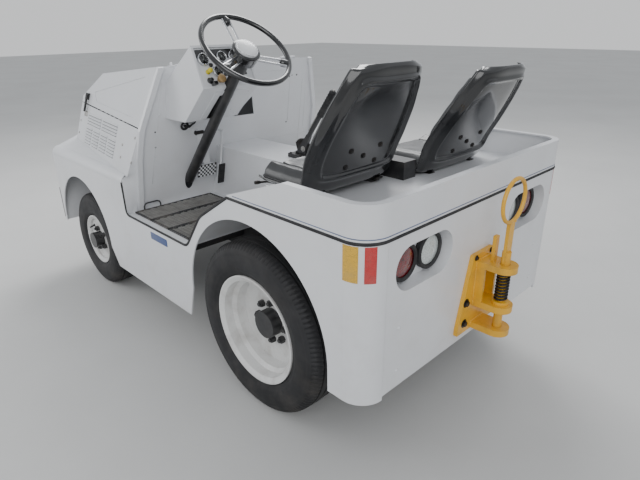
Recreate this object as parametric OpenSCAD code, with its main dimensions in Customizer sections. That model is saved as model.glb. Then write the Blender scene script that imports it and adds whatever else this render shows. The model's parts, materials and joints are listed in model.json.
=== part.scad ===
// Airport baggage tug: open two-seat tow tractor with a rear pintle hitch.
// Millimetres. +X forward, +Y to the driver's side, +Z up, ground at z = 0.
// Places along x are counted from the flat rear face of the body.

/* [Body] */
// Width over the side plates
body_w = 1260; // [1230:1:1300]
// Length from the rear face to the front of the fenders
body_l = 2448; // [2430:1:2500]
// Thickness of the steel side, rear and front plates
plate_t = 6; // [5:0.5:7]
// Thickness of the folded sheet panels
sheet_t = 4; // [3:0.5:5]
// Radius of the upright rear corners
corner_r = 90; // [70:1:110]
// Height of the seam round the rear body
seam_z = 876; // [870:1:882]
// Height of the coaming above the seam
coaming_h = 116; // [90:1:130]
// Width of the turned-in flange on the coaming
coaming_flange = 26; // [20:1:32]
// Lower edge of the rear plate
rear_skirt_z = 335; // [320:1:350]
// Lower edge of the middle skirt
mid_skirt_z = 250; // [240:1:260]

/* [Step and floor] */
// Height of the floor and sill
floor_z = 592; // [586:1:598]
// Rear end of the floor
floor_rear = 978; // [972:1:984]
// Footwell's length as a share of all that lies ahead of the floor's rear end
floor_share = 0.3755; // [0.372:0.0005:0.379]
// Top of the slope from the deck down to the floor
step_top_x = 656; // [650:1:662]
// Bend half way down that slope, along x
step_mid_x = 854; // [848:1:860]
// Bend half way down that slope, height
step_mid_z = 753; // [748:1:758]
// Depth of the ribbed floor mat
mat_t = 8; // [6:1:12]
// Height of the tunnel cover between the footwells
tunnel_z = 858; // [850:1:866]
// Right and left sides of the tunnel cover
tunnel_y = [-145, 121];

/* [Wheels] */
// Outer radius of the rear tyres
rear_tyre_r = 353; // [345:1:356]
// Width of the rear tyres
rear_tyre_w = 195; // [185:1:200]
// Outer radius of the front tyres
front_tyre_r = 275; // [268:1:280]
// Width of the front tyres
front_tyre_w = 160; // [150:1:164]
// Rear axle, counted from the rear face
rear_axle_x = 580; // [575:1:585]
// Front axle, back from the front of the fenders
front_overhang = 326; // [320:1:333]
// Middle of the rear tyres, in from the body's side
rear_tyre_in = 106; // [104:1:110]
// Middle of the front tyres, in from the body's side
front_tyre_in = 118; // [114:1:122]
// King pins, in from the middle of the front tyres
king_in = 42; // [40:1:44]
// Radius of the rear wheel arch
rear_arch_r = 405; // [400:1:410]
// Radius of the front wheel arch
front_arch_r = 320; // [318:1:324]

/* [Hood] */
// Height of the hood and cowl at their rear
hood_z = 1272; // [1262:1:1282]
// Hood's side in from the body's side at that place
hood_in = 170; // [164:1:180]
// Gap all round the hood lid
lid_gap = 6; // [5:0.5:8]
// Hood's nose back from the front of the fenders
nose_back = 46; // [36:1:52]
// Height where the nose meets the sloping front of the lid
nose_z = 1062; // [1056:1:1072]
// Length of the sloping front of the lid
nose_slope_l = 252; // [232:1:272]
// Height of the lid there
top_front_z = 1197; // [1190:1:1204]
// How much narrower the level top is there, on each side
top_taper = 84; // [74:1:94]

/* [Dash and steering] */
// Right and left sides of the dash box
dash_y = [136, 418];
// Centre line of the steering column, out from the centre line
column_y = 277; // [272:1:282]
// Height of the steering wheel's centre above the hood's rear
wheel_up = 76; // [70:1:82]
// Steering wheel's centre, back from the firewall's top edge
wheel_back = 410; // [404:1:416]
// Radius of the steering wheel to the middle of its rim
wheel_r = 186; // [180:1:192]
// Radius of the rim's own section
wheel_rim_r = 11; // [10:0.5:13]
// Slope of the column from level
column_deg = 49; // [48:0.5:50]

/* [Seats] */
// Each seat's inner edge, out from the centre line
seat_in = 42; // [40:1:46]
// Width of the seats
seat_w = 470; // [450:1:480]
// Thickness of the moulded seat shells
shell_t = 8; // [6:1:10]
// Thickness of the seat's back pad
back_pad_t = 52; // [46:1:58]
// Thickness of the seat's lower cushion
cushion_t = 62; // [56:1:68]

/* [Hitch] */
// Centre of the hitch pin behind the rear face
hitch_pin_x = 100; // [96:1:104]
// Radius of the hitch pin
hitch_pin_r = 16; // [14:0.5:18]
// Thickness of the hitch plates
hitch_plate_t = 25; // [22:1:28]
// Lowest plate of the hitch, its underside
hitch_low_z = 380; // [374:1:386]
// Middle plate of the hitch, its underside
hitch_mid_z = 475; // [469:1:481]
// Top plate of the hitch, its underside
hitch_top_z = 630; // [624:1:636]
// Outer radius of the plates' round ends
hitch_end_r = 45; // [42:1:48]

/* [Front] */
// How far the bumper stands out from the front plate
bumper_d = 62; // [50:1:80]
// Height of the bumper channel
bumper_h = 190; // [170:1:200]
// Underside of the bumper
bumper_z = 330; // [322:1:340]

/* [Hidden] */
$fn = 48;

// Small gap between pieces that seat on each other with curved or soft faces
seat_gap = 0.3;
// Running gap of a pin or shaft in its bore
run_gap = 0.05;
body_half = body_w / 2;
plate_in = body_half - plate_t;
// The middle of the whole length, hitch to bumper, is the row's origin
bumper_front = body_l + bumper_d;
hitch_rear = -(hitch_pin_x + hitch_end_r);
mid_x = (bumper_front + hitch_rear) / 2;

// Places along the body that follow from its length
sill_front = round(floor_rear + floor_share * (body_l - floor_rear));
front_axle_x = body_l - front_overhang;
nose_x = body_l - nose_back;
top_front_x = nose_x - nose_slope_l;
// Places across the body that follow from its width
rear_tyre_y = body_half - rear_tyre_in;
front_tyre_y = body_half - front_tyre_in;
king_y = front_tyre_y - king_in;
hood_half = body_half - hood_in;
top_front_half = hood_half - top_taper;
seat_y = seat_in + seat_w / 2;
// Limits of the blocks that trim other pieces: lowest, highest, foremost
cut_low = 200;
cut_high = 1600;
cut_front = body_l + 150;

// Lean of the cowl: how far it goes forward for each millimetre down
cowl_lean = 0.264;
cowl_back = 164;
cowl_top_x = sill_front - cowl_back;
function cowl_x(z) = cowl_top_x + (hood_z - z) * cowl_lean;

// The hood's side is one plane: half width at a place along x and a height
hood_taper = 0.119;
hood_batter = 0.343;
function hood_y(x, z) = hood_half - hood_taper * (x - cowl_top_x) - hood_batter * (z - hood_z);
function hood_p(x, z) = [x, hood_y(x, z), z];
// Height of the seam between the lid and the sides
function lid_seam_z(x) = 1003 + 0.025 * (x - cowl_x(1003));

// Fender section: upright wall, quarter round, then a rise towards the hood
fender_edge_r = 45;
fender_round_z = 745;
fender_rise = 0.37;
fender_in = body_half - 200;
fender_top_z = fender_round_z + fender_edge_r;
// Level shelf between the fenders, under the nose
shelf_z = fender_top_z + fender_rise * (body_half - fender_edge_r - fender_in);

// Deck line from the rear face to the floor, in x and z
deck_t = 5;
deck_top = seam_z + 4;
deck_line = [[plate_t, deck_top], [step_top_x, deck_top], [step_mid_x, step_mid_z + 4],
  [floor_rear + 3, floor_z]];

column_dir = [cos(column_deg), 0, -sin(column_deg)];
wheel_x = cowl_top_x - wheel_back;
wheel_z = hood_z + wheel_up;
wheel_c = [wheel_x, column_y, wheel_z];
column_r = 25;
shaft_r = 12;
column_top = 62;
// Length down to the firewall, or to just above the floor where that comes first
column_end = 8 + min((wheel_back - cowl_lean * wheel_up) / (cos(column_deg) - cowl_lean * sin(column_deg)),
  (wheel_z - floor_z - 60) / sin(column_deg));

function unit(v) = v / norm(v);
function mirrored(p) = [p.x, -p.y, p.z];

// Turns a profile in x and z into a slab that runs across from y0 to y1
module across(y0, y1) translate([0, y1, 0]) rotate([90, 0, 0]) linear_extrude(y1 - y0) children();
// Turns a profile in y and z into a bar that runs along from x0 to x1
module along(x0, x1) translate([x0, 0, 0]) rotate([90, 0, 90]) linear_extrude(x1 - x0) children();
// Puts a piece and its mirror image on both sides of the centre line
module both() { children(); mirror([0, 1, 0]) children(); }
// Moves the rear face's frame into the row's frame
module in_row() translate([-mid_x, 0, 0]) children();

// Puts a piece drawn on the ground plane on the face with the given corners, which are counted
// anticlockwise from outside, with the first one at its origin
module on_face(pts) {
  ex = unit(pts[1] - pts[0]);
  ez = unit(cross(ex, pts[2] - pts[0]));
  ey = cross(ez, ex);
  multmatrix([[ex.x, ey.x, ez.x, pts[0].x], [ex.y, ey.y, ez.y, pts[0].y],
    [ex.z, ey.z, ez.z, pts[0].z], [0, 0, 0, 1]]) children();
}
// A flat sheet whose outer face has the given corners, moved out by a distance if one is given
module sheet(pts, t, out = 0) {
  ex = unit(pts[1] - pts[0]);
  ey = cross(unit(cross(ex, pts[2] - pts[0])), ex);
  on_face(pts) translate([0, 0, out - t]) linear_extrude(t)
    polygon([for (p = pts) [(p - pts[0]) * ex, (p - pts[0]) * ey]]);
}
// All that lies inside a face, from a depth on
module inside_face(pts, depth) {
  big = 4000;
  on_face(pts) translate([-big / 2, -big / 2, -big - depth]) cube(big);
}

// A slot shape with round ends, long in x
module slot_2d(l, h) {
  square([l - h, h], center = true);
  for (s = [-1, 1]) translate([s * (l - h) / 2, 0]) circle(d = h);
}

// A bar of round section between two points
module rod(a, b, r) {
  v = b - a;
  translate(a) rotate([0, acos(v.z / norm(v)), atan2(v.y, v.x)]) cylinder(r = r, h = norm(v));
}

// Side plate's outline in x and z, with both wheel arches cut out
rear_arch = [562, 400];
front_arch = [front_axle_x - 12, 345];
// The middle skirt rises to the front one between these places
skirt_rise_x = [front_arch.x - 385, front_arch.x - 310];
module side_outline() {
  arch_end = rear_arch.x + rear_arch_r;
  difference() {
    polygon([[corner_r, rear_skirt_z - 15], [arch_end - 100, rear_skirt_z - 15],
      [arch_end + 44, mid_skirt_z], [skirt_rise_x[0], mid_skirt_z],
      [skirt_rise_x[1], rear_skirt_z - 5],
      [body_l, rear_skirt_z - 5], [body_l, fender_round_z], [sill_front + 6, fender_round_z],
      [sill_front, floor_z], [floor_rear, floor_z], [step_mid_x, step_mid_z],
      [step_top_x, seam_z], [corner_r, seam_z]]);
    translate(rear_arch) circle(r = rear_arch_r, $fn = 96);
    polygon([[rear_arch.x - rear_arch_r, rear_arch.y], [rear_arch.x - rear_arch_r, cut_low],
      [arch_end + 54, cut_low], [arch_end + 44, mid_skirt_z], [arch_end, rear_arch.y]]);
    translate(front_arch) circle(r = front_arch_r, $fn = 96);
    polygon([[front_arch.x - front_arch_r, front_arch.y], [skirt_rise_x[0], mid_skirt_z],
      [skirt_rise_x[0] - 10, cut_low], [front_arch.x + front_arch_r, cut_low],
      [front_arch.x + front_arch_r, front_arch.y]]);
  }
}
module side_plate() {
  across(plate_in, body_half) side_outline();
  // Quarter-round rear corner
  translate([corner_r, body_half - corner_r, rear_skirt_z - 15])
    intersection() {
      difference() {
        cylinder(r = corner_r, h = seam_z - rear_skirt_z + 15);
        translate([0, 0, -1]) cylinder(r = corner_r - plate_t, h = seam_z);
      }
      translate([-corner_r - 1, 0, -1]) cube([corner_r + 1, corner_r + 1, seam_z]);
    }
}
module side_left() color("white") in_row() side_plate();
module side_right() color("white") in_row() mirror([0, 1, 0]) side_plate();

// Rear plate between the round corners, with a lamp pocket on each side
lamp_slot_l = 305;
lamp_slot_h = 150;
lamp_slot_y = 347;
lamp_z = 755;
lamp_depth = 52;
lamp_pocket_t = 4;
lamp_y = [275, 412];
lamp_r = 51;
grommet_r = 58;
module rear_panel() color("white") in_row() {
  flat_half = body_half - corner_r;
  difference() {
    union() {
      along(0, plate_t) translate([-flat_half, rear_skirt_z])
        square([2 * flat_half, seam_z - rear_skirt_z]);
      both() along(0, lamp_depth + lamp_pocket_t) translate([lamp_slot_y, lamp_z])
        slot_2d(lamp_slot_l + 2 * lamp_pocket_t, lamp_slot_h + 2 * lamp_pocket_t);
    }
    both() along(-1, lamp_depth) translate([lamp_slot_y, lamp_z])
      slot_2d(lamp_slot_l, lamp_slot_h);
    both() for (y = lamp_y) translate([lamp_depth - 1, y, lamp_z]) rotate([0, 90, 0])
      cylinder(r = grommet_r, h = lamp_pocket_t + 2);
  }
}

// Upper band round the rear deck, turned in along its top
module plan_u(grow) {
  half = body_half + grow;
  r = corner_r + grow;
  translate([-grow + r, -half]) square([step_top_x - r + grow, 2 * half]);
  translate([-grow, -half + r]) square([2 * r, 2 * (half - r)]);
  for (s = [-1, 1]) translate([-grow + r, s * (half - r)]) circle(r = r);
}
module coaming() color("white") in_row() {
  top = seam_z + coaming_h;
  intersection() {
    translate([0, 0, seam_z]) difference() {
      linear_extrude(coaming_h) plan_u(0);
      translate([0, 0, -1]) linear_extrude(coaming_h - plate_t + 1) plan_u(-plate_t);
      translate([0, 0, -1]) linear_extrude(coaming_h + 2) plan_u(-coaming_flange);
      translate([step_top_x - 1, -body_half, -1]) cube([200, body_w, 2 * coaming_h]);
    }
    across(-body_half - 1, body_half + 1)
      polygon([[-1, seam_z], [step_top_x, seam_z], [step_top_x, seam_z + 10], [352, top],
        [-1, top]]);
  }
}

// Seat deck: one folded sheet from the rear plate down to the floor
module deck() color("white") in_row() difference() {
  p = deck_line;
  across(-plate_in, plate_in) polygon([p[0], p[1], p[2], p[3], p[3] - [6, 0],
    p[2] - [6, 5], p[1] - [2, deck_t], p[0] - [0, deck_t]]);
  both() rear_corner_block(plate_t);
}
// What lies outside a rear corner's round, moved in by a thickness
module rear_corner_block(t) translate([corner_r, body_half - corner_r, 0]) difference() {
  translate([-corner_r, 0, 0]) cube([corner_r, corner_r, 1200]);
  translate([0, 0, -1]) cylinder(r = corner_r - t, h = 1202);
}
// The space on and under the deck's outer face, used to trim what stands on it
module under_deck() {
  p = deck_line;
  across(-body_half, body_half) polygon([p[0] - [200, 0], p[1], p[2], p[3], p[3] - [0, 400],
    p[0] - [200, 400]]);
}

module floor_pan() color("white") in_row() {
  x0 = floor_rear - 2;
  translate([x0, -plate_in, floor_z - sheet_t - 2])
    cube([cowl_x(floor_z) + 3 - x0, 2 * plate_in, sheet_t + 2]);
}

// Ribbed rubber mats, one in each footwell
mat_rib = 22;
module floor_mat() color("dimgray") in_row() {
  x0 = floor_rear + 52;
  x1 = sill_front - 10;
  y0 = tunnel_y[1] + 37;
  y1 = body_half - 36;
  both() {
    translate([x0, y0, floor_z]) cube([x1 - x0, y1 - y0, mat_t - 3]);
    for (y = [y0 + mat_rib / 2 : mat_rib : y1 - mat_rib * 0.7])
      translate([x0, y, floor_z]) cube([x1 - x0, mat_rib / 2, mat_t]);
  }
}

// Firewall: a leaning sheet with a raised frame along its outer edges
cowl_t = 5;
cowl_rim_w = 26;
cowl_rim_h = 14;
cowl_deg = atan(cowl_lean);
cowl_edge = [[hood_half, hood_z], [body_half - 76, 998], [body_half - 62, 862],
  [body_half - 68, floor_z]];
// Distance up the leaning firewall for a height
function up_cowl(z) = (z - floor_z) / cos(cowl_deg);
// Puts a piece drawn upright at x = 0 on the firewall's rear face
module on_cowl() translate([cowl_x(floor_z), 0, floor_z]) rotate([0, -cowl_deg, 0]) children();
// Half outline of the firewall in y and distance up, its edges moved in by a width
module cowl_outline(inset) {
  edge = [for (e = cowl_edge) [e[0] - inset, up_cowl(e[1])]];
  for (s = [0, 1]) mirror([s, 0]) polygon(concat([[0, up_cowl(hood_z)]], edge, [[0, 0]]));
}
module cowl() color("white") in_row() difference() {
  on_cowl() {
    along(0, cowl_t) cowl_outline(0);
    along(-cowl_rim_h, 0) difference() {
      cowl_outline(0);
      cowl_outline(cowl_rim_w);
    }
  }
  translate([floor_rear, -body_half, 0]) cube([body_l - floor_rear, body_w, floor_z]);
  translate([cowl_top_x - 60, -body_half, hood_z]) cube([200, body_w, 50]);
  // Hole for the steering column and a three-cornered vent beside the dash
  rod(wheel_c, wheel_c + 1000 * column_dir, column_r + seat_gap);
  on_cowl() along(-50, 50)
    polygon([[25, up_cowl(1000)], [-82, up_cowl(1095)], [-105, up_cowl(998)]]);
}

// Two surface hinges join the hood lid to the firewall's top edge
hinge_y = [-300, 300];
hinge_r = 5;
hinge_pin_r = 2.5;
hinge_leaf_t = 3;
hinge_x = cowl_top_x + cowl_t + lid_gap / 2;
hinge_z = hood_z + hinge_r + seat_gap;
module hinge_bar(r, y0, y1) translate([hinge_x, y1, hinge_z]) rotate([90, 0, 0])
  cylinder(r = r, h = y1 - y0, $fn = 32);
// The firewall's leaf with the middle knuckle and the pin
module hood_hinge_pins() color("white") in_row() for (y = hinge_y) {
  hinge_bar(hinge_r, y - 20, y + 20);
  hinge_bar(hinge_pin_r, y - 50, y + 50);
  translate([cowl_top_x - 12, y - 20, hood_z]) cube([hinge_x + 12 - cowl_top_x, 40, hinge_leaf_t]);
}
// The lid's leaf with the outer knuckles
module lid_hinge_leaves() for (y = hinge_y) difference() {
  union() {
    for (s = [-1, 1]) hinge_bar(hinge_r, y + s * 35 - 14, y + s * 35 + 14);
    difference() {
      translate([hinge_x, y - 49, hood_z - 1]) cube([38, 98, hinge_leaf_t + 1]);
      translate([hinge_x - 1, y - 21, hood_z - 2]) cube([10, 42, hinge_leaf_t + 3]);
      translate([hinge_x - 1, y - 50, hood_z - 3]) cube([lid_gap / 2 + 1, 100, 3]);
    }
  }
  hinge_bar(hinge_pin_r + run_gap, y - 51, y + 51);
}

// Cover over the driveline, from the seat deck to the firewall
module tunnel_cover() color("white") in_row() {
  x0 = step_top_x + 24;
  x1 = cowl_x(floor_z);
  difference() {
    translate([x0, tunnel_y[0], floor_z])
      cube([x1 - x0, tunnel_y[1] - tunnel_y[0], tunnel_z - floor_z]);
    translate([x0 - 1, tunnel_y[0] + sheet_t, floor_z - 1])
      cube([x1 - x0 + 2, tunnel_y[1] - tunnel_y[0] - 2 * sheet_t, tunnel_z - floor_z - sheet_t + 1]);
    under_deck();
    ahead_of_cowl(0.1);
  }
}
// Everything ahead of the firewall's rear face, moved back by a gap
module ahead_of_cowl(gap) across(-body_half - 50, body_half + 50)
  polygon([[cowl_x(cut_low) - gap, cut_low], [cut_front, cut_low], [cut_front, cut_high],
    [cowl_x(cut_high) - gap, cut_high]]);

// Fender tops: the same section along each side, and the plate that closes its rear end
module fender_section(t) {
  top = fender_top_z;
  c = [body_half - fender_edge_r, fender_round_z];
  rise = fender_rise * (c.x - fender_in);
  difference() {
    union() {
      polygon([[fender_in, top + rise], [fender_in, fender_round_z], [body_half, fender_round_z],
        [c.x + 1, top], [c.x, top]]);
      translate(c) circle(r = fender_edge_r, $fn = 64);
    }
    translate([fender_in - 1, fender_round_z - 100]) square([300, 100]);
    if (t > 0) {
      polygon([[fender_in - 1, top + rise - t], [fender_in - 1, fender_round_z - 1],
        [body_half - t, fender_round_z - 1], [c.x, top - t], [c.x - 1, top - t]]);
      translate(c) circle(r = fender_edge_r - t, $fn = 64);
    }
  }
}
closure_w = 60;
module fenders() color("white") in_row() both() {
  x0 = sill_front + 6;
  along(x0, body_l - plate_t) fender_section(sheet_t);
  along(x0, x0 + sheet_t) {
    y0 = body_half - closure_w;
    translate([y0, floor_z]) square([plate_in - y0, fender_round_z - floor_z]);
    intersection() {
      translate([0, fender_round_z]) fender_section(0);
      translate([y0, fender_round_z]) square([closure_w, 50]);
    }
  }
}

// Lower hood sides, from the seam down to the fender tops
module hood_sides() color("white") in_row() {
  hood_side_sheets();
  louvres();
}
module hood_side_sheets() both() difference() {
  x0 = cowl_x(900) - 60;
  x1 = nose_x;
  z_top0 = lid_seam_z(cowl_x(1003)) - lid_gap / 2;
  sheet([hood_p(x1, 780), hood_p(x0, 740), hood_p(x0, z_top0),
    hood_p(x1, lid_seam_z(x1) - lid_gap / 2)], sheet_t);
  along(x0 - 200, body_l) fender_cut();
  behind_cowl(cowl_t);
}
// Louvres pressed out of each side. Columns of a bank: height of its lowest louvre, rows, columns
louvre_banks = [[828, 6, 4], [930, 4, 2]];
louvre_x = [cowl_top_x + 369, nose_x - 160];
louvre_pitch = 16;
louvre_space = 22;
louvre_out = 6;
module louvres() both() for (b = louvre_banks) {
  foot = [hood_p(louvre_x[1], b[0]), hood_p(louvre_x[0], b[0]), hood_p(louvre_x[0], b[0] + 100)];
  l = (norm(foot[1] - foot[0]) + louvre_space) / b[2];
  on_face(foot) for (row = [0 : b[1] - 1]) for (col = [0 : b[2] - 1])
    along(col * l, (col + 1) * l - louvre_space) translate([row * louvre_pitch, 0])
      polygon([[0, -1], [12, -1], [12, 0], [3, louvre_out], [0, louvre_out]]);
}
// Everything below the fender's outer surface, used to trim what stands on it
module fender_cut() {
  top = fender_top_z;
  c = [body_half - fender_edge_r, fender_round_z];
  polygon([[0, shelf_z], [0, 300], [body_half, 300],
    [body_half, fender_round_z], [c.x, fender_round_z], [c.x, top], [fender_in, shelf_z]]);
  translate(c) circle(r = fender_edge_r, $fn = 64);
}
// Everything behind a plane that lies the given distance ahead of the firewall's rear face
module behind_cowl(gap) across(-body_half - 50, body_half + 50)
  polygon([[cowl_x(cut_low) + gap / cos(cowl_deg), cut_low], [0, cut_low], [0, cut_high],
    [cowl_x(cut_high) + gap / cos(cowl_deg), cut_high]]);

// Nose: an upright frame with level bars
grille_bars = 7;
module grille() color("white") in_row() {
  z0 = shelf_z - 22;
  z1 = lid_seam_z(nose_x) - lid_gap / 2;
  h0 = hood_y(nose_x, z0) - sheet_t - 1;
  h1 = hood_y(nose_x, z1) - sheet_t - 1;
  rim = 44;
  pitch = (z1 - z0 - 2 * rim) / grille_bars;
  along(nose_x - 12, nose_x) difference() {
    polygon([[-h0, z0], [h0, z0], [h1, z1], [-h1, z1]]);
    polygon([[rim - h0, z0 + rim], [h0 - rim, z0 + rim], [h1 - rim, z1 - rim],
      [rim - h1, z1 - rim]]);
    both_2d() fender_cut();
  }
  for (i = [0 : grille_bars - 1]) {
    z = z0 + rim + (i + 0.5) * pitch;
    half = h0 - rim + (h1 - h0) * (z - z0) / (z1 - z0) + 15;
    translate([nose_x - 10, -half, z - 5]) cube([8, 2 * half, 10]);
  }
}

// Front plate below the nose, with round openings for the headlamps
head_r = 88;
head_y = 330;
head_z = 655;
module front_panel() color("white") in_row() {
  z1 = fender_round_z;
  difference() {
    union() {
      along(body_l - plate_t, body_l) {
        translate([-body_half, rear_skirt_z - 5]) square([body_w, z1 - rear_skirt_z + 5]);
        both_2d() intersection() {
          fender_cut();
          translate([0, z1]) square([body_half, 200]);
        }
      }
      // Shelf from the front plate back to the foot of the nose
      translate([nose_x - 30, seat_gap - fender_in, shelf_z - sheet_t])
        cube([body_l - nose_x + 30, 2 * (fender_in - seat_gap), sheet_t]);
    }
    both() translate([body_l - 50, head_y, head_z]) rotate([0, 90, 0])
      cylinder(r = head_r - 8, h = 60);
    both() across(plate_in, body_half + 1) side_outline();
  }
}
module both_2d() { children(); mirror([1, 0]) children(); }

module head_bezels() color("silver") in_row() both() translate([body_l, head_y, head_z])
  rotate([0, 90, 0]) difference() {
    union() {
      cylinder(r = head_r + 14, h = 4);
      cylinder(r = head_r + 4, h = 11);
    }
    translate([0, 0, -1]) cylinder(r = head_r - 8, h = 20);
  }

module front_bumper() color("dimgray") in_row() {
  t = 12;
  half = body_half - 15;
  difference() {
    translate([body_l, -half, bumper_z]) cube([bumper_d, 2 * half, bumper_h]);
    translate([body_l - 1, -half + t, bumper_z + t])
      cube([bumper_d - t + 1, 2 * half - 2 * t, bumper_h - 2 * t]);
  }
  both() translate([body_l, 215, bumper_z + t]) cube([bumper_d - t, 50, bumper_h - 2 * t]);
}

// A round lamp lens: a short barrel with a domed face towards +Z
module lens(r, h, dome) {
  ball = (r * r + dome * dome) / (2 * dome);
  cylinder(r = r, h = h);
  intersection() {
    translate([0, 0, h - ball + dome]) sphere(r = ball, $fn = 96);
    translate([0, 0, h]) cylinder(r = r, h = dome);
  }
}
module rear_lens() rotate([0, -90, 0]) lens(lamp_r, 22, 6);
module clear_lamps() color("lightblue") in_row() both() {
  translate([lamp_depth + 8, lamp_y[0], lamp_z]) rear_lens();
  translate([body_l - 20, head_y, head_z]) rotate([0, 90, 0]) lens(head_r - 8 - seat_gap, 26, 14);
}
module tail_lamps() color("firebrick") in_row() both()
  translate([lamp_depth + 8, lamp_y[1], lamp_z]) rear_lens();
module lamp_grommets() color("black") in_row() both() {
  for (y = lamp_y) translate([lamp_depth - 12, y, lamp_z]) rotate([0, 90, 0]) difference() {
    union() {
      cylinder(r = grommet_r + 6, h = 12);
      cylinder(r = grommet_r - seat_gap, h = 22);
    }
    translate([0, 0, -1]) cylinder(r = lamp_r + seat_gap, h = 30);
  }
}

// Dash box on the firewall; the gauge face is sunk between the side cheeks
dash_low_z = hood_z - 232;
dash_pts = [[cowl_top_x - 114, dash_low_z], [cowl_top_x - 288, hood_z - 76],
  [cowl_top_x - 219, hood_z + 90], [cowl_top_x - 1, hood_z - 60]];
module dash_box() color("white") in_row() difference() {
  across(dash_y[0], dash_y[1]) polygon([dash_pts[0], dash_pts[1], dash_pts[2], dash_pts[3],
    [cut_front, hood_z - 60], [cut_front, dash_low_z]]);
  // Sunk gauge face
  across(dash_y[0] + 10, dash_y[1] - 10) polygon([dash_pts[1] + [-20, 12], dash_pts[1] + [7, 10],
    dash_pts[2] + [4, -12], dash_pts[2] + [-20, -4]]);
  ahead_of_cowl(0.1);
  rod(wheel_c, wheel_c + 700 * column_dir, column_r + 3);
}

// Instruments on the sunk face: columns are y, distance up the face, radius, height
gauge_table = [[375, 110, 26, 12], [322, 56, 25, 12], [284, 116, 24, 12], [226, 116, 22, 12],
  [190, 72, 18, 12], [370, 57, 9, 30], [324, 21, 18, 24], [373, 21, 8, 22], [228, 30, 8, 22]];
module gauges() color("silver") in_row() {
  a = dash_pts[1] + [7, 10];
  b = dash_pts[2] + [4, -12];
  up = (b - a) / norm(b - a);
  for (g = gauge_table) {
    at = a + up * g[1];
    translate([at[0], g[0], at[1]]) rotate([0, -90 + atan2(up[0], up[1]), 0])
      translate([0, 0, run_gap]) cylinder(r = g[2], h = g[3]);
  }
}

module steering_column() color("black") in_row() difference() {
  union() {
    rod(wheel_c + column_top * column_dir, wheel_c + column_end * column_dir, column_r);
    rod(wheel_c + column_top * column_dir, wheel_c + (column_top + 50) * column_dir, column_r + 9);
  }
  rod(wheel_c, wheel_c + (column_top + 80) * column_dir, shaft_r + run_gap);
}

// Steering wheel: rim, hub and shaft in one piece
wheel_hub_r = 58;
module on_column() translate(wheel_c) rotate([0, 90 + column_deg, 0]) children();
module steering_rim() color("black") in_row() on_column() {
  rotate_extrude($fn = 96) translate([wheel_r, 0]) circle(r = wheel_rim_r, $fn = 24);
  translate([0, 0, 2]) cylinder(r1 = wheel_hub_r, r2 = wheel_hub_r - 6, h = 50);
  translate([0, 0, 50]) cylinder(r = shaft_r, h = column_top + 12);
}
module steering_spokes() color("silver") in_row() on_column() {
  translate([0, 0, -8]) cylinder(r = wheel_hub_r - 12, h = 9.7);
  for (a = [60, 180, 300]) rotate([0, 0, a]) for (s = [-1, 1])
    rod([30, s * 12, 30], [wheel_r - 8, s * 16, 2], 4.5);
}

// Brake and accelerator pedals hang from the firewall on a flat arm and on a bent rod. Rows give
// y and the share of the way up from the floor to the dash, for the foot and for the head
brake_arm = [[204, 0.426], [259, 0.835]];
gas_rod = [[141, 0.431], [137, 0.824]];
brake_back = 45;
gas_back = 60;
function leg_up(share) = up_cowl(floor_z + share * (dash_low_z - floor_z));
module pedals() color("gray") in_row() on_cowl() {
  foot = [brake_arm[0][0], leg_up(brake_arm[0][1])];
  head = [brake_arm[1][0], leg_up(brake_arm[1][1])];
  along(-brake_back - 6, -brake_back) translate(foot)
    rotate(atan2(head.y - foot.y, head.x - foot.x)) translate([0, -20])
      square([norm(head - foot), 40]);
  along(-brake_back - 2, -seat_gap) translate(head - [3, 12]) circle(r = 14);
  translate([-brake_back - 18, foot.x - 40, foot.y - 44]) cube([14, 82, 58]);
  a = [-gas_back - 15, gas_rod[0][0], leg_up(gas_rod[0][1])];
  b = [-gas_back, gas_rod[1][0], leg_up(gas_rod[1][1])];
  rod(a, b, 6);
  rod(b - [7.5, 0, 0], [-seat_gap, b.y, b.z], 7.5);
  translate(a - [9, 17, 95]) cube([12, 34, 105]);
}

park_x = 925;
module parking_brake() color("black") in_row() {
  low = [park_x - 30, 0, tunnel_z + 113];
  translate([park_x, -28, tunnel_z]) cube([90, 56, 18]);
  across(-8, 8) polygon([[park_x + 5, tunnel_z + 18], [park_x + 60, tunnel_z + 18],
    [low.x + 10, low.z + 4], [low.x - 10, low.z - 3]]);
  rod(low, low + [-153, 0, 205], 11);
}

// Seats: columns are y of the centre, shift back, shift down, lean of the back in degrees
seat_table = [[seat_y, 0, 0, 23], [-seat_y, 66, 22, 27]];
seat_hip = [392, 912];
back_h = 432;
function back_top_half(w) = 0.29 * w;
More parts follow.
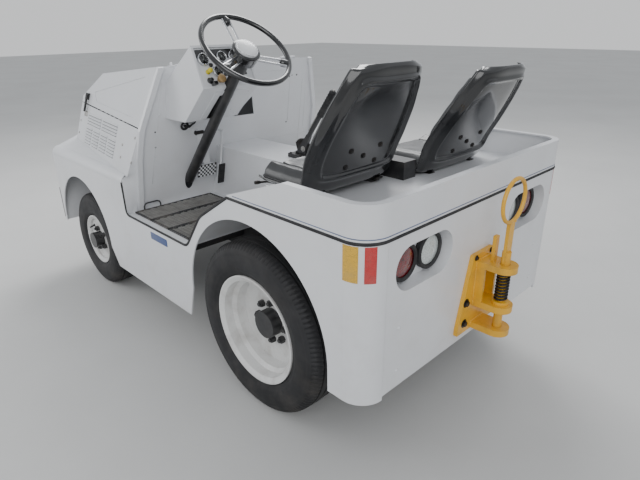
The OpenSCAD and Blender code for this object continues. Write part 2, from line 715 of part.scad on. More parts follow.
// Outline of the back, wide at the hips and round at the top
module back_outline(w) {
  half = w / 2;
  top = back_top_half(w);
  polygon([[-half + 30, 0], [half - 30, 0], [half, 60], [half - 6, 190], [top + 40, 340],
    [top + 10, 410], [top - 20, back_h], [20 - top, back_h], [-top - 10, 410],
    [-top - 40, 340], [6 - half, 190], [-half, 60]]);
}
module seat_back(s, w, t, off) {
  translate([seat_hip[0] - s[1], s[0], seat_hip[1] - s[2]])
    rotate([0, -s[3], 0]) translate([off, 0, 0]) rotate([90, 0, 90]) linear_extrude(t)
      back_outline(w);
}
module seat_shells() color("black") in_row() for (s = seat_table) {
  seat_back(s, seat_w, shell_t, 0);
  translate([seat_hip[0] - s[1] - 6, s[0] - seat_w / 2 + 20, seat_hip[1] - s[2] - shell_t])
    cube([236, seat_w - 40, shell_t]);
}
module seat_cushions() color("dimgray") in_row() for (s = seat_table) {
  intersection() {
    seat_back(s, seat_w - 34, back_pad_t, shell_t + seat_gap);
    translate([0, -body_half, seat_hip[1] - s[2] + cushion_t + 2]) cube([900, body_w, 500]);
  }
  translate([seat_hip[0] - s[1] + 12, 0, seat_hip[1] - s[2] + seat_gap])
    across(s[0] - seat_w / 2 + 12, s[0] + seat_w / 2 - 12)
      polygon([[0, 0], [236, 0], [252, 14], [250, 34], [230, cushion_t - 8], [180, cushion_t],
        [0, cushion_t]]);
}
// Frames that carry the seats on the deck, and the box between them
module seat_frames() color("black") in_row() {
  for (s = seat_table) for (side = [-1, 1])
    translate([seat_hip[0] - s[1] + 10, s[0] + side * (seat_w / 2 - 85) - 15, deck_top])
      cube([210, 30, seat_hip[1] - s[2] - shell_t - deck_top]);
  translate([330, 4 - seat_in, deck_top]) cube([240, 2 * (seat_in - 4), 70]);
}

// Hitch: back plate, three shelves with round ends and two side webs
module hitch_shelf(z, bore_r) {
  translate([0, 0, z]) linear_extrude(hitch_plate_t) difference() {
    union() {
      translate([-hitch_pin_x, -hitch_end_r]) square([hitch_pin_x, 2 * hitch_end_r]);
      translate([-hitch_pin_x, 0]) circle(r = hitch_end_r);
    }
    translate([-hitch_pin_x, 0]) circle(r = bore_r);
  }
}
hitch_back_t = 16;
module hitch_bracket() color("gold") in_row() {
  along(-hitch_back_t, 0) polygon([[-68, 680], [68, 680], [130, 400], [130, hitch_low_z - 5],
    [-130, hitch_low_z - 5], [-130, 400]]);
  hitch_shelf(hitch_low_z, hitch_pin_r + 1);
  hitch_shelf(hitch_mid_z, hitch_pin_r + 1);
  hitch_shelf(hitch_top_z, hitch_pin_r + 1);
  both() across(34, hitch_end_r) polygon([[-50, hitch_mid_z], [0, hitch_mid_z],
    [0, hitch_top_z + 1], [-50, hitch_top_z + 1]]);
  // Post that guides the lifting handle
  translate([-62, -10, hitch_top_z + hitch_plate_t]) cube([14, 20, 96]);
}

// Pin with its flat bar and ring on top, lifted by hand
ring_r = 76;
ring_rod_r = 7;
ring_z = 889;
spring_r = 26;
spring_wire_r = 4;
// Height of the pin's collar above the middle shelf
collar_up = 13;
module hitch_pin() color("gold") in_row() translate([-hitch_pin_x, 0, 0]) {
  translate([0, 0, hitch_low_z + 3]) cylinder(r = hitch_pin_r, h = 700 - hitch_low_z);
  translate([0, 0, hitch_mid_z + hitch_plate_t + seat_gap])
    cylinder(r = spring_r + 4, h = collar_up - seat_gap);
  translate([-6, -18, 660]) cube([12, 36, ring_z - ring_r - 660]);
  translate([0, 0, ring_z]) rotate([0, 90, 0]) rotate_extrude($fn = 64)
    translate([ring_r, 0]) circle(r = ring_rod_r, $fn = 24);
}
// Spring round the pin, between the pin's collar and the top shelf: one swept tube
spring_turns = 6.5;
spring_sides = 8;
spring_steps = 20;
module hitch_spring() color("dimgray") in_row() translate([-hitch_pin_x, 0, 0]) {
  z0 = hitch_mid_z + hitch_plate_t + collar_up + seat_gap + spring_wire_r;
  z1 = hitch_top_z - seat_gap - spring_wire_r;
  n = spring_turns * spring_steps;
  pts = [for (i = [0 : n]) let (a = 360 * i / spring_steps) for (k = [0 : spring_sides - 1])
    let (b = 360 * k / spring_sides, r = spring_r - spring_wire_r + spring_wire_r * cos(b))
    [r * cos(a), r * sin(a), z0 + (z1 - z0) * i / n + spring_wire_r * sin(b)]];
  sides = [for (i = [0 : n - 1]) for (k = [0 : spring_sides - 1])
    let (m = (k + 1) % spring_sides, o = i * spring_sides, q = o + spring_sides)
    [o + k, q + k, q + m, o + m]];
  ends = [[for (k = [0 : spring_sides - 1]) k],
    [for (k = [spring_sides - 1 : -1 : 0]) n * spring_sides + k]];
  polyhedron(pts, concat(sides, ends));
}

// Ladder frame: two channels and cross members
rail_y = 240;
rail_w = 50;
rail_h = 120;
rail_z = 440;
rail_t = 8;
module frame_rails() color("dimgray") in_row() {
  both() difference() {
    translate([plate_t, rail_y - rail_w / 2, rail_z]) cube([body_l - 2 * plate_t, rail_w, rail_h]);
    translate([0, rail_y - rail_w / 2 - 1, rail_z + rail_t])
      cube([body_l, rail_w - rail_t + 1, rail_h - 2 * rail_t]);
  }
  web = rail_y + rail_w / 2 - rail_t;
  for (x = [70, floor_rear + 22, sill_front + 10, body_l - 118]) translate([x, -web - 1, rail_z + 1])
    cube([50, 2 * web + 2, rail_h - 2]);
  // Outriggers that carry the side plates, the floor and the fenders
  both() for (x = [110, floor_rear + 102, sill_front - 90])
    translate([x, rail_y + rail_w / 2 - 1, rail_z + 70])
      cube([40, plate_in - rail_y - rail_w / 2 + 1, 30]);
}

engine_half = 170;
module engine_block() color("dimgray") in_row() {
  x0 = cowl_x(rail_z + 30) + 62;
  x1 = nose_x - 202;
  foot_y = engine_half - 5;
  translate([x0, -engine_half, rail_z + 30]) cube([x1 - x0, 2 * engine_half, 430]);
  both() translate([(x0 + x1) / 2 - 120, foot_y, rail_z + 50])
    cube([80, rail_y + rail_w / 2 - rail_t - foot_y, 40]);
}

axle_tube_r = 45;
spindle_rear_r = 35;
axle_half = rear_tyre_y - 124;
rear_spindle_end = rear_tyre_y - 9;
module rear_axle() color("dimgray") in_row() translate([rear_axle_x, 0, rear_tyre_r]) {
  rotate([90, 0, 0]) cylinder(r = axle_tube_r, h = 2 * axle_half, center = true);
  intersection() {
    sphere(r = 130, $fn = 64);
    rotate([90, 0, 0]) cylinder(r = 125, h = 200, center = true);
  }
  both() {
    rotate([-90, 0, 0]) cylinder(r = spindle_rear_r, h = rear_spindle_end);
    translate([0, axle_half, 0]) rotate([-90, 0, 0]) cylinder(r = 120, h = 8);
  }
}

// Steered axle: an I-beam with an eye for the king pin at each end
king_r = 15;
eye_r = 32;
eye_h = 70;
module front_axle() color("dimgray") in_row() translate([front_axle_x, 0, front_tyre_r]) {
  difference() {
    union() {
      across(-king_y + eye_r - 4, king_y - eye_r + 4) polygon([[-30, -35], [30, -35], [30, -22],
        [8, -14], [8, 14], [30, 22], [30, 35], [-30, 35], [-30, 22], [-8, 14], [-8, -14],
        [-30, -22]]);
      both() translate([0, king_y, -eye_h / 2]) cylinder(r = eye_r, h = eye_h);
    }
    both() translate([0, king_y, -eye_h]) cylinder(r = king_r + run_gap, h = 2 * eye_h);
  }
  both() translate([-45, rail_y - 30, 35]) cube([90, 60, 54]);
}

// Leaf springs: three leaves each, arched from the axle up to the rail
// columns: axle x, height of the lowest leaf, half length, rise at the ends
leaf_t = 8;
leaf_count = 3;
rear_seat_z = rear_tyre_r + axle_tube_r;
front_seat_z = front_tyre_r + 89;
function leaf_rise(seat_z) = rail_z - 3 - seat_z - leaf_count * leaf_t;
spring_table = [[rear_axle_x, rear_seat_z, 380, leaf_rise(rear_seat_z)],
  [front_axle_x, front_seat_z, 300, leaf_rise(front_seat_z)]];
module leaf_springs() color("black") in_row() both() for (s = spring_table) {
  r = (s[2] * s[2] + s[3] * s[3]) / (2 * s[3]);
  for (i = [0 : leaf_count - 1]) {
    half = s[2] * (i + 1) / leaf_count;
    across(rail_y - 28, rail_y + 28) intersection() {
      translate([s[0], s[1] + r]) difference() {
        circle(r = r - i * leaf_t, $fn = 360);
        circle(r = r - leaf_count * leaf_t, $fn = 360);
      }
      translate([s[0] - half, s[1] - 1]) square([2 * half, 200]);
    }
  }
  // Hangers at both ends of the longest leaf
  for (e = [-1, 1]) {
    z = s[1] + leaf_count * leaf_t + s[3];
    translate([s[0] + e * (s[2] - 20) - 15, rail_y - 28, z - 6]) cube([30, 56, rail_z - z + 6]);
  }
}

// Hood lid: level top, sloping front, upright nose and two folded sides, as one pressed sheet
lid_rear_z = lid_seam_z(cowl_x(1003)) + lid_gap / 2;
lid_a = hood_p(cowl_x(lid_rear_z) + cowl_t + lid_gap, lid_rear_z);
lid_t = hood_p(cowl_top_x + cowl_t + lid_gap, hood_z);
lid_s = hood_p(nose_x, lid_seam_z(nose_x) + lid_gap / 2);
lid_n = hood_p(nose_x, nose_z);
lid_q = [top_front_x, top_front_half, top_front_z];
lid_reach = 5000;
module lid_block(depth) intersection() {
  for_sides([lid_s, lid_a, lid_t], depth);
  for_sides([lid_n, lid_t, lid_q], depth);
  inside_face([lid_q, lid_t, mirrored(lid_t)], depth);
  inside_face([lid_n, lid_q, mirrored(lid_q)], depth);
  inside_face([lid_s, lid_n, mirrored(lid_n)], depth);
}
// What lies inside a face and inside its mirror image
module for_sides(pts, depth) intersection() {
  inside_face(pts, depth);
  mirror([0, 1, 0]) inside_face(pts, depth);
}
// Height at a share of the way from the seam up to the fold in the lid's side
function lid_side_z(x, share) = lid_seam_z(x) + share
  * (hood_z + (nose_z - hood_z) * (x - lid_t.x) / (nose_x - lid_t.x) - lid_seam_z(x));
// Shallow panel pressed into each side of the lid: x of its corners, and that share
lid_panel = [[nose_x - 271, 0.346], [cowl_top_x + 183, 0.148], [cowl_top_x + 114, 0.895],
  [nose_x - 209, 0.918]];
module hood_lid() color("white") in_row() {
  difference() {
    lid_block(0);
    lid_block(sheet_t);
    both() sheet([for (q = lid_panel) hood_p(q[0], lid_side_z(q[0], q[1]))], 20, 20 - sheet_t / 2);
    // Open below the seam and behind the edge along the firewall
    slope = (lid_s.z - lid_a.z) / (lid_s.x - lid_a.x);
    across(-lid_reach, lid_reach) polygon([[lid_s.x + 50, lid_s.z + 50 * slope], [lid_a.x, lid_a.z],
      2 * [lid_t.x, lid_t.z] - [lid_a.x, lid_a.z], [-lid_reach, 1600], [-lid_reach, -lid_reach],
      [lid_s.x + 50, -lid_reach]]);
  }
  lid_hinge_leaves();
}

// Rubber strap latches on the lid's sides near the nose
module hood_latches() color("black") in_row() both() {
  x = 2290;
  z = lid_seam_z(x);
  y = hood_y(x, z);
  translate([x, y, z]) rotate([atan(hood_batter), 0, -atan(hood_taper)]) {
    translate([-14, seat_gap, 26]) cube([28, 16, 26]);
    translate([-9, 8, -44]) cube([18, 8, 80]);
    translate([-20, 4, 51]) cube([40, 10, 11]);
  }
}

// Knuckles: fork round the axle's eye, king pin, spindle and steering arm
ear_h = 30;
ear_r = 28;
arm_x = 150;
arm_y = 65;
arm_z = -66;
spindle_r = 22;
module knuckle() translate([front_axle_x, king_y, front_tyre_r]) {
  z = eye_h / 2 + 1;
  translate([0, 0, -z - ear_h]) cylinder(r = king_r, h = 2 * (z + ear_h));
  for (s = [0, 1]) mirror([0, 0, s]) {
    translate([0, 0, z]) cylinder(r = ear_r, h = ear_h);
    translate([-ear_r, 0, z]) cube([2 * ear_r, 52, ear_h]);
  }
  translate([-ear_r, 37, -z - ear_h]) cube([2 * ear_r, 15, 2 * (z + ear_h)]);
  translate([0, 40, 0]) rotate([-90, 0, 0]) cylinder(r = spindle_r, h = 62);
  // Arm inboard past the tyre, then back to the tie rod
  translate([-15, -arm_y - 14, arm_z]) cube([30, arm_y + 14, 16]);
  translate([-arm_x, -arm_y - 14, arm_z]) cube([arm_x + 10, 28, 16]);
  translate([-arm_x, -arm_y, arm_z]) cylinder(r = 22, h = 16);
}
module knuckle_left() color("dimgray") in_row() knuckle();
module knuckle_right() color("dimgray") in_row() mirror([0, 1, 0]) knuckle();

module tie_rod() color("dimgray") in_row() {
  x = front_axle_x - arm_x;
  y = king_y - arm_y;
  z = front_tyre_r + arm_z - seat_gap;
  both() translate([x, y, z - 16]) cylinder(r = 20, h = 16);
  rod([x, -y, z - 8], [x, y, z - 8], 6.5);
}

// Wheels. Columns of a size row: tyre radius, tyre width, bead seat radius, flange radius,
// half width over the flanges, outer face of the disc, hub radius, lug circle radius, lugs,
// spindle radius, reach of the hub past the disc, drum radius, inner end of the hub
rear_size = [rear_tyre_r, rear_tyre_w, 203, 223, 88, -15, 56, 82.55, 8, spindle_rear_r, 48, 140, -90];
front_size = [front_tyre_r, front_tyre_w, 127, 144.5, 66, 44, 45, 62, 5, spindle_r, 50, 76, 16];
disc_t = 9;

module wheel_tyre(w) {
  r = w[0];
  h = w[1] / 2;
  b = w[2] + 2.4;
  f = w[4] - 14;
  wall = r - b;
  half = [[b, f], [b + 0.1 * wall, f + 2], [b + 0.22 * wall, 0.9 * h], [b + 0.38 * wall, 0.985 * h],
    [b + 0.5 * wall, h], [b + 0.66 * wall, 0.97 * h], [b + 0.82 * wall, 0.9 * h],
    [b + 0.93 * wall, 0.78 * h], [b + 0.985 * wall, 0.62 * h], [r, 0.3 * h]];
  n = len(half);
  rotate_extrude($fn = 96) polygon(concat(half, [for (i = [n - 1 : -1 : 0]) [half[i][0], -half[i][1]]]));
}
module wheel_rim(w) {
  b = w[2];
  fl = w[3];
  h = w[4];
  t = 6;
  d = w[2] - 15;
  barrel = [[fl, h], [fl, h - 8], [b + 2, h - 14], [b, 0.45 * h], [d, 0.3 * h]];
  inner = [[d - t, 0.32 * h], [b - t, 0.47 * h], [b - t + 2, h - 10], [fl - t, h]];
  difference() {
    union() {
      rotate_extrude($fn = 96) polygon(concat(barrel,
        [for (i = [4 : -1 : 0]) [barrel[i][0], -barrel[i][1]]],
        [for (i = [3 : -1 : 0]) [inner[i][0], -inner[i][1]]], inner));
      translate([0, 0, w[5] - disc_t]) cylinder(r = (abs(w[5]) > 0.3 * h ? b : d) - t + 1, h = disc_t, $fn = 96);
    }
    translate([0, 0, w[5] - 50]) cylinder(r = w[6] + seat_gap, h = 100);
    for (i = [0 : w[8] - 1]) rotate([0, 0, i * 360 / w[8]])
      translate([w[7], 0, w[5] - 50]) cylinder(r = 8.5, h = 100, $fn = 24);
  }
}
// Hub with its drum, wheel studs and nuts; the bore runs on the axle's spindle
module wheel_hub(w) {
  back = w[5] - disc_t;
  difference() {
    union() {
      translate([0, 0, w[12]]) cylinder(r = w[11], h = back - w[12]);
      translate([0, 0, back]) cylinder(r = w[6], h = disc_t + w[10]);
      for (i = [0 : w[8] - 1]) rotate([0, 0, i * 360 / w[8]]) translate([w[7], 0, back - 5]) {
        cylinder(r = 8, h = disc_t + 31, $fn = 24);
        translate([0, 0, disc_t + 5]) cylinder(r = 15, h = 18, $fn = 6);
      }
    }
    translate([0, 0, w[12] - 1]) cylinder(r = w[9] + run_gap, h = w[5] + w[10] - 12 - w[12] + 1);
  }
}
module at_wheel(x, y, r, side) translate([x, side * y, r]) rotate([-90 * side, 0, 0]) children();
module at_rear(side) at_wheel(rear_axle_x, rear_tyre_y, rear_tyre_r, side) children();
module at_front(side) at_wheel(front_axle_x, front_tyre_y, front_tyre_r, side) children();

module rear_left_tyre() color("#222222") in_row() at_rear(1) wheel_tyre(rear_size);
module rear_left_rim() color("white") in_row() at_rear(1) wheel_rim(rear_size);
module rear_left_hub() color("black") in_row() at_rear(1) wheel_hub(rear_size);
module rear_right_tyre() color("#222222") in_row() at_rear(-1) wheel_tyre(rear_size);
module rear_right_rim() color("white") in_row() at_rear(-1) wheel_rim(rear_size);
module rear_right_hub() color("black") in_row() at_rear(-1) wheel_hub(rear_size);
module front_left_tyre() color("#222222") in_row() at_front(1) wheel_tyre(front_size);
module front_left_rim() color("white") in_row() at_front(1) wheel_rim(front_size);
module front_left_hub() color("black") in_row() at_front(1) wheel_hub(front_size);
module front_right_tyre() color("#222222") in_row() at_front(-1) wheel_tyre(front_size);
module front_right_rim() color("white") in_row() at_front(-1) wheel_rim(front_size);
module front_right_hub() color("black") in_row() at_front(-1) wheel_hub(front_size);

frame_rails();
side_left();
side_right();
rear_panel();
coaming();
deck();
floor_pan();
floor_mat();
cowl();
hood_hinge_pins();
tunnel_cover();
fenders();
hood_sides();
grille();
front_panel();
front_bumper();
head_bezels();
clear_lamps();
tail_lamps();
lamp_grommets();
dash_box();
gauges();
steering_column();
pedals();
parking_brake();
seat_shells();
seat_cushions();
seat_frames();
hitch_bracket();
hitch_spring();
engine_block();
rear_axle();
front_axle();
leaf_springs();
hood_lid();
hood_latches();
steering_rim();
steering_spokes();
hitch_pin();
knuckle_left();
knuckle_right();
tie_rod();
rear_left_tyre();
rear_left_rim();
rear_left_hub();
rear_right_tyre();
rear_right_rim();
rear_right_hub();
front_left_tyre();
front_left_rim();
front_left_hub();
front_right_tyre();
front_right_rim();
front_right_hub();
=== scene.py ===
# Looks of the airport baggage tug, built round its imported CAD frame. Metres, +X forward, +Y left, +Z up.
import json
import math

import bpy
import bmesh
import numpy as np
from mathutils import Matrix, Vector


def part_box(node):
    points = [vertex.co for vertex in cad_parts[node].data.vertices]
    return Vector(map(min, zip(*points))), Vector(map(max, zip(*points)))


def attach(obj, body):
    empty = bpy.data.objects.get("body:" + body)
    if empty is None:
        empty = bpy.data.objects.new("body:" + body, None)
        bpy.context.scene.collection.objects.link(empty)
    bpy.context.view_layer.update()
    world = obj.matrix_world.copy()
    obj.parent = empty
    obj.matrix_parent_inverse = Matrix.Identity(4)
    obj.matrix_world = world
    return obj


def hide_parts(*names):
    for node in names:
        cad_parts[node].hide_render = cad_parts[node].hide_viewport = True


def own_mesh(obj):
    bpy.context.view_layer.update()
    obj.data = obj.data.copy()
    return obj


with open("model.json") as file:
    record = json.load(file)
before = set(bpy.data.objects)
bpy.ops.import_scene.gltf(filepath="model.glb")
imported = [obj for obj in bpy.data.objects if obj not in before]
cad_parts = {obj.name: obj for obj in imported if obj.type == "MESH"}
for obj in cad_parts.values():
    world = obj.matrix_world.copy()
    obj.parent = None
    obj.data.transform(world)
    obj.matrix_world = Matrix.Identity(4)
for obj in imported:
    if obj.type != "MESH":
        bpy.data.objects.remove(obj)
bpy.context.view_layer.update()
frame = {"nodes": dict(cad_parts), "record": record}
NODES = frame["nodes"]
RECORD = frame["record"]
SLOT_OF = {p["node"]: p["material_slot"] for p in RECORD["subparts"]}

# Places along x are counted from the flat rear face of the body, as in the part's source
REAR_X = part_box("rear_panel")[0].x
BODY_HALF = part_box("side_left")[1].y
FRONT_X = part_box("front_panel")[1].x - REAR_X
SEAM_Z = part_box("coaming")[0].z
FLOOR_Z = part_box("floor_mat")[0].z
CORNER_R = 0.090
STEP = [(0.656, SEAM_Z), (0.854, 0.753), (0.978, FLOOR_Z), (1.530, FLOOR_Z), (1.536, 0.745)]


def at(x, y, z):
    """A place counted from the rear face, in the row frame."""
    return Vector((REAR_X + x, y, z))


# ---------------------------------------------------------------- camera, light and floor

CAM_AT = (-0.8160, 1.6047, 1.4399)
CAM_YAW, CAM_PITCH, CAM_ROLL = math.radians(-44.241), math.radians(22.798), math.radians(-0.588)
CAM_LENS = 28.97


def make_camera():
    d = Vector((math.cos(CAM_PITCH) * math.cos(CAM_YAW), math.cos(CAM_PITCH) * math.sin(CAM_YAW),
                -math.sin(CAM_PITCH)))
    r = d.cross(Vector((0, 0, 1))).normalized()
    u = r.cross(d)
    c, s = math.cos(CAM_ROLL), math.sin(CAM_ROLL)
    right, up = c * r + s * u, c * u - s * r
    cam = bpy.data.objects.new("camera", bpy.data.cameras.new("camera"))
    bpy.context.scene.collection.objects.link(cam)
    m = Matrix((right, up, -d)).transposed().to_4x4()
    m.translation = at(*CAM_AT)
    cam.matrix_world = m
    cam.data.sensor_width, cam.data.lens = 36, CAM_LENS
    cam.data.clip_start, cam.data.clip_end = 0.05, 100
    bpy.context.scene.camera = cam


def area_light(name, place, target, size, power):
    lamp = bpy.data.objects.new(name, bpy.data.lights.new(name, "AREA"))
    bpy.context.scene.collection.objects.link(lamp)
    lamp.data.shape, lamp.data.size, lamp.data.energy = "SQUARE", size, power
    lamp.location = place
    lamp.rotation_euler = (Vector(target) - Vector(place)).to_track_quat("-Z", "Y").to_euler()


def make_light():
    area_light("key", (2.2, -2.6, 4.6), (0, 0, 0.6), 3.0, 215)
    area_light("fill", (-3.8, 3.6, 3.0), (0, 0, 0.6), 3.5, 95)
    area_light("front_fill", (3.6, 3.4, 2.4), (0.3, 0, 0.6), 2.5, 60)
    world = bpy.data.worlds.new("studio")
    bpy.context.scene.world = world
    world.use_nodes = True
    nt = world.node_tree
    nt.nodes.clear()
    out = nt.nodes.new("ShaderNodeOutputWorld")
    mix = nt.nodes.new("ShaderNodeMixShader")
    light, seen = nt.nodes.new("ShaderNodeBackground"), nt.nodes.new("ShaderNodeBackground")
    light.inputs["Color"].default_value, light.inputs["Strength"].default_value = (0.93, 0.96, 1, 1), 0.74
    seen.inputs["Color"].default_value, seen.inputs["Strength"].default_value = (0.80, 0.81, 0.82, 1), 1
    path = nt.nodes.new("ShaderNodeLightPath")
    nt.links.new(path.outputs["Is Camera Ray"], mix.inputs[0])
    nt.links.new(light.outputs[0], mix.inputs[1])
    nt.links.new(seen.outputs[0], mix.inputs[2])
    nt.links.new(mix.outputs[0], out.inputs[0])


def make_floor():
    me = bpy.data.meshes.new("floor")
    s = 30
    me.from_pydata([(-s, -s, 0), (s, -s, 0), (s, s, 0), (-s, s, 0)], [], [(0, 1, 2, 3)])
    floor = bpy.data.objects.new("floor", me)
    bpy.context.scene.collection.objects.link(floor)
    me.materials.append(Shader("floor", (0.60, 0.60, 0.59), 0.85).vary(0.03, 0.8).bump(45, 0.10, 0.002).done())


# ---------------------------------------------------------------- materials


class Shader:
    """A Principled material whose colour, roughness and bump come from textures in the piece's own space."""

    def __init__(self, name, colour, rough, metal=0.0, coat=0.0, coat_rough=0.05, ior=1.5, edge=0.0):
        self.mat = bpy.data.materials.new(name)
        self.mat.use_nodes = True
        self.nt = self.mat.node_tree
        self.nt.nodes.clear()
        self.p = self.node("ShaderNodeBsdfPrincipled")
        self.out = self.node("ShaderNodeOutputMaterial")
        self.link(self.p.outputs[0], self.out.inputs[0])
        self.p.inputs["Base Color"].default_value = (*colour, 1)
        self.p.inputs["Roughness"].default_value = rough
        self.p.inputs["Metallic"].default_value = metal
        self.p.inputs["Coat Weight"].default_value = coat
        self.p.inputs["Coat Roughness"].default_value = coat_rough
        self.p.inputs["IOR"].default_value = ior
        self.colour, self.rough = None, None
        self.base, self.base_rough = (*colour, 1), rough
        self.coord = self.node("ShaderNodeTexCoord").outputs["Object"]
        self.normal = None
        if edge:
            self.soft = self.node("ShaderNodeBevel", samples=4)
            self.soft.inputs["Radius"].default_value = edge
            self.normal = self.soft.outputs[0]

    def node(self, kind, **props):
        n = self.nt.nodes.new(kind)
        for k, v in props.items():
            setattr(n, k, v)
        return n

    def link(self, a, b):
        self.nt.links.new(a, b)

    def noise(self, scale, detail=4.0, rough=0.5, stretch=(1, 1, 1)):
        coord = self.coord
        if stretch != (1, 1, 1):
            m = self.node("ShaderNodeMapping")
            m.inputs["Scale"].default_value = stretch
            self.link(coord, m.inputs[0])
            coord = m.outputs[0]
        n = self.node("ShaderNodeTexNoise")
        n.inputs["Scale"].default_value = scale
        n.inputs["Detail"].default_value = detail
        n.inputs["Roughness"].default_value = rough
        self.link(coord, n.inputs["Vector"])
        return n.outputs["Fac"]

    def ramp(self, value, low, high, a=0.0, b=1.0):
        r = self.node("ShaderNodeMapRange")
        for k, v in zip(("From Min", "From Max", "To Min", "To Max"), (low, high, a, b)):
            r.inputs[k].default_value = v
        self.link(value, r.inputs["Value"])
        return r.outputs[0]

    def math(self, op, a, b):
        m = self.node("ShaderNodeMath", operation=op)
        for i, v in enumerate((a, b)):
            if isinstance(v, (int, float)):
                m.inputs[i].default_value = v
            else:
                self.link(v, m.inputs[i])
        return m.outputs[0]

    def blend(self, colour, fac):
        """Mixes a colour over the current one by a mask."""
        m = self.node("ShaderNodeMix", data_type="RGBA")
        self.link(fac, m.inputs[0])
        if self.colour is None:
            m.inputs[6].default_value = self.base
        else:
            self.link(self.colour, m.inputs[6])
        m.inputs[7].default_value = (*colour, 1)
        self.colour = m.outputs[2]
        return self

    def roughen(self, fac, to):
        m = self.node("ShaderNodeMix", data_type="FLOAT")
        self.link(fac, m.inputs[0])
        if self.rough is None:
            m.inputs[2].default_value = self.base_rough
        else:
            self.link(self.rough, m.inputs[2])
        m.inputs[3].default_value = to
        self.rough = m.outputs[0]
        return self

    def vary(self, amount, scale):
        """Slow light and dark patches."""
        dark = tuple(c * (1 - 2.2 * amount) for c in self.base[:3])
        n = self.noise(scale, 5.0, 0.6)
        self.blend(dark, self.ramp(n, 0.38, 0.66))
        return self.roughen(self.ramp(self.noise(scale * 4.3, 3.0), 0.35, 0.7), min(1, self.base_rough + 0.10))

    def grime(self, colour, amount, scale=7.0, low=None, high=None):
        """Dirt in blotches, thicker towards the ground when low and high are given."""
        mask = self.ramp(self.noise(scale, 8.0, 0.62), 0.47, 0.72, 0.0, amount)
        if low is not None:
            z = self.node("ShaderNodeSeparateXYZ")
            self.link(self.coord, z.inputs[0])
            mask = self.math("MULTIPLY", mask, self.ramp(z.outputs["Z"], high, low, 0.25, 1.0))
        self.blend(colour, mask)
        return self.roughen(mask, 0.8)

    def wear(self, colour, amount=1.0, scale=55.0, rough=0.5):
        """Bare material along the edges, found from the softened normal."""
        g = self.node("ShaderNodeNewGeometry")
        dot = self.node("ShaderNodeVectorMath", operation="DOT_PRODUCT")
        self.link(self.soft.outputs[0], dot.inputs[0])
        self.link(g.outputs["Normal"], dot.inputs[1])
        edge = self.ramp(dot.outputs["Value"], 0.985, 0.90)
        spots = self.ramp(self.noise(scale, 6.0, 0.7), 0.56, 0.64, 0.0, amount)
        mask = self.math("MULTIPLY", edge, spots)
        self.blend(colour, mask)
        return self.roughen(mask, rough)

    def specks(self, colour, amount=0.6, scale=30.0, size=0.06):
        """Small chips and spots."""
        v = self.node("ShaderNodeTexVoronoi")
        v.inputs["Scale"].default_value = scale
        self.link(self.coord, v.inputs["Vector"])
        near = self.ramp(v.outputs["Distance"], size, size * 0.5, 0.0, 1.0)
        some = self.ramp(self.noise(scale * 0.25, 2.0), 0.58, 0.66, 0.0, amount)
        return self.blend(colour, self.math("MULTIPLY", near, some))

    def scratch(self, colour, amount=0.2, stretch=(1, 1, 14), scale=26.0):
        n = self.ramp(self.noise(scale, 3.0, 0.8, stretch), 0.66, 0.70, 0.0, amount)
        return self.blend(colour, n)

    def bump(self, scale, strength, depth=0.001, detail=2.0, stretch=(1, 1, 1), source=None):
        b = self.node("ShaderNodeBump")
        b.inputs["Strength"].default_value = strength
        b.inputs["Distance"].default_value = depth
        self.link(source or self.noise(scale, detail, 0.5, stretch), b.inputs["Height"])
        if self.normal is not None:
            self.link(self.normal, b.inputs["Normal"])
        self.normal = b.outputs[0]
        return self

    def cells(self, scale, feature="F1"):
        v = self.node("ShaderNodeTexVoronoi", feature=feature)
        v.inputs["Scale"].default_value = scale
        self.link(self.coord, v.inputs["Vector"])
        return v.outputs["Distance"]

    def rings(self, centre, axis, pitch):
        """Rings or ridges: a sine of the distance from an axis."""
        v = self.node("ShaderNodeVectorMath", operation="SUBTRACT")
        self.link(self.coord, v.inputs[0])
        v.inputs[1].default_value = centre
        s = self.node("ShaderNodeVectorMath", operation="MULTIPLY")
        self.link(v.outputs[0], s.inputs[0])
        s.inputs[1].default_value = [0 if i == axis else 1 for i in range(3)]
        n = self.node("ShaderNodeVectorMath", operation="LENGTH")
        self.link(s.outputs[0], n.inputs[0])
        return self.math("SINE", self.math("MULTIPLY", n.outputs["Value"], 2 * math.pi / pitch), 0)

    def done(self):
        if self.colour is not None:
            self.link(self.colour, self.p.inputs["Base Color"])
        if self.rough is not None:
            self.link(self.rough, self.p.inputs["Roughness"])
        if self.normal is not None:
            self.link(self.normal, self.p.inputs["Normal"])
        return self.mat


WHITE = (0.74, 0.75, 0.77)
DUST = (0.42, 0.39, 0.35)


def white_paint():
    s = Shader("white_paint", WHITE, 0.32, coat=0.35, coat_rough=0.12, edge=0.0022)
    s.vary(0.02, 2.2).grime((0.50, 0.48, 0.45), 0.30, 6.0, 0.25, 1.1)
    s.scratch((0.52, 0.52, 0.52), 0.16).specks((0.22, 0.20, 0.19), 0.5, 24, 0.05)
    return s.wear((0.30, 0.28, 0.26), 0.55, 60).bump(420, 0.05, 0.0004).bump(5, 0.05, 0.004).done()


def rim_white():
    s = Shader("rim_white", (0.70, 0.70, 0.69), 0.4, coat=0.15, edge=0.0018)
    s.vary(0.04, 6).grime((0.34, 0.31, 0.28), 0.55, 11).specks((0.2, 0.17, 0.15), 0.7, 40, 0.07)
    return s.wear((0.22, 0.18, 0.15), 0.8, 70).bump(160, 0.12, 0.0005).done()


def yellow_paint():
    s = Shader("yellow_paint", (0.80, 0.42, 0.020), 0.38, coat=0.3, coat_rough=0.1, edge=0.0025)
    s.vary(0.06, 9).grime((0.34, 0.20, 0.05), 0.5, 16)
    return s.wear((0.10, 0.07, 0.05), 0.9, 90, 0.6).specks((0.14, 0.09, 0.05), 0.7, 60, 0.07) \
        .bump(240, 0.12, 0.0005).done()


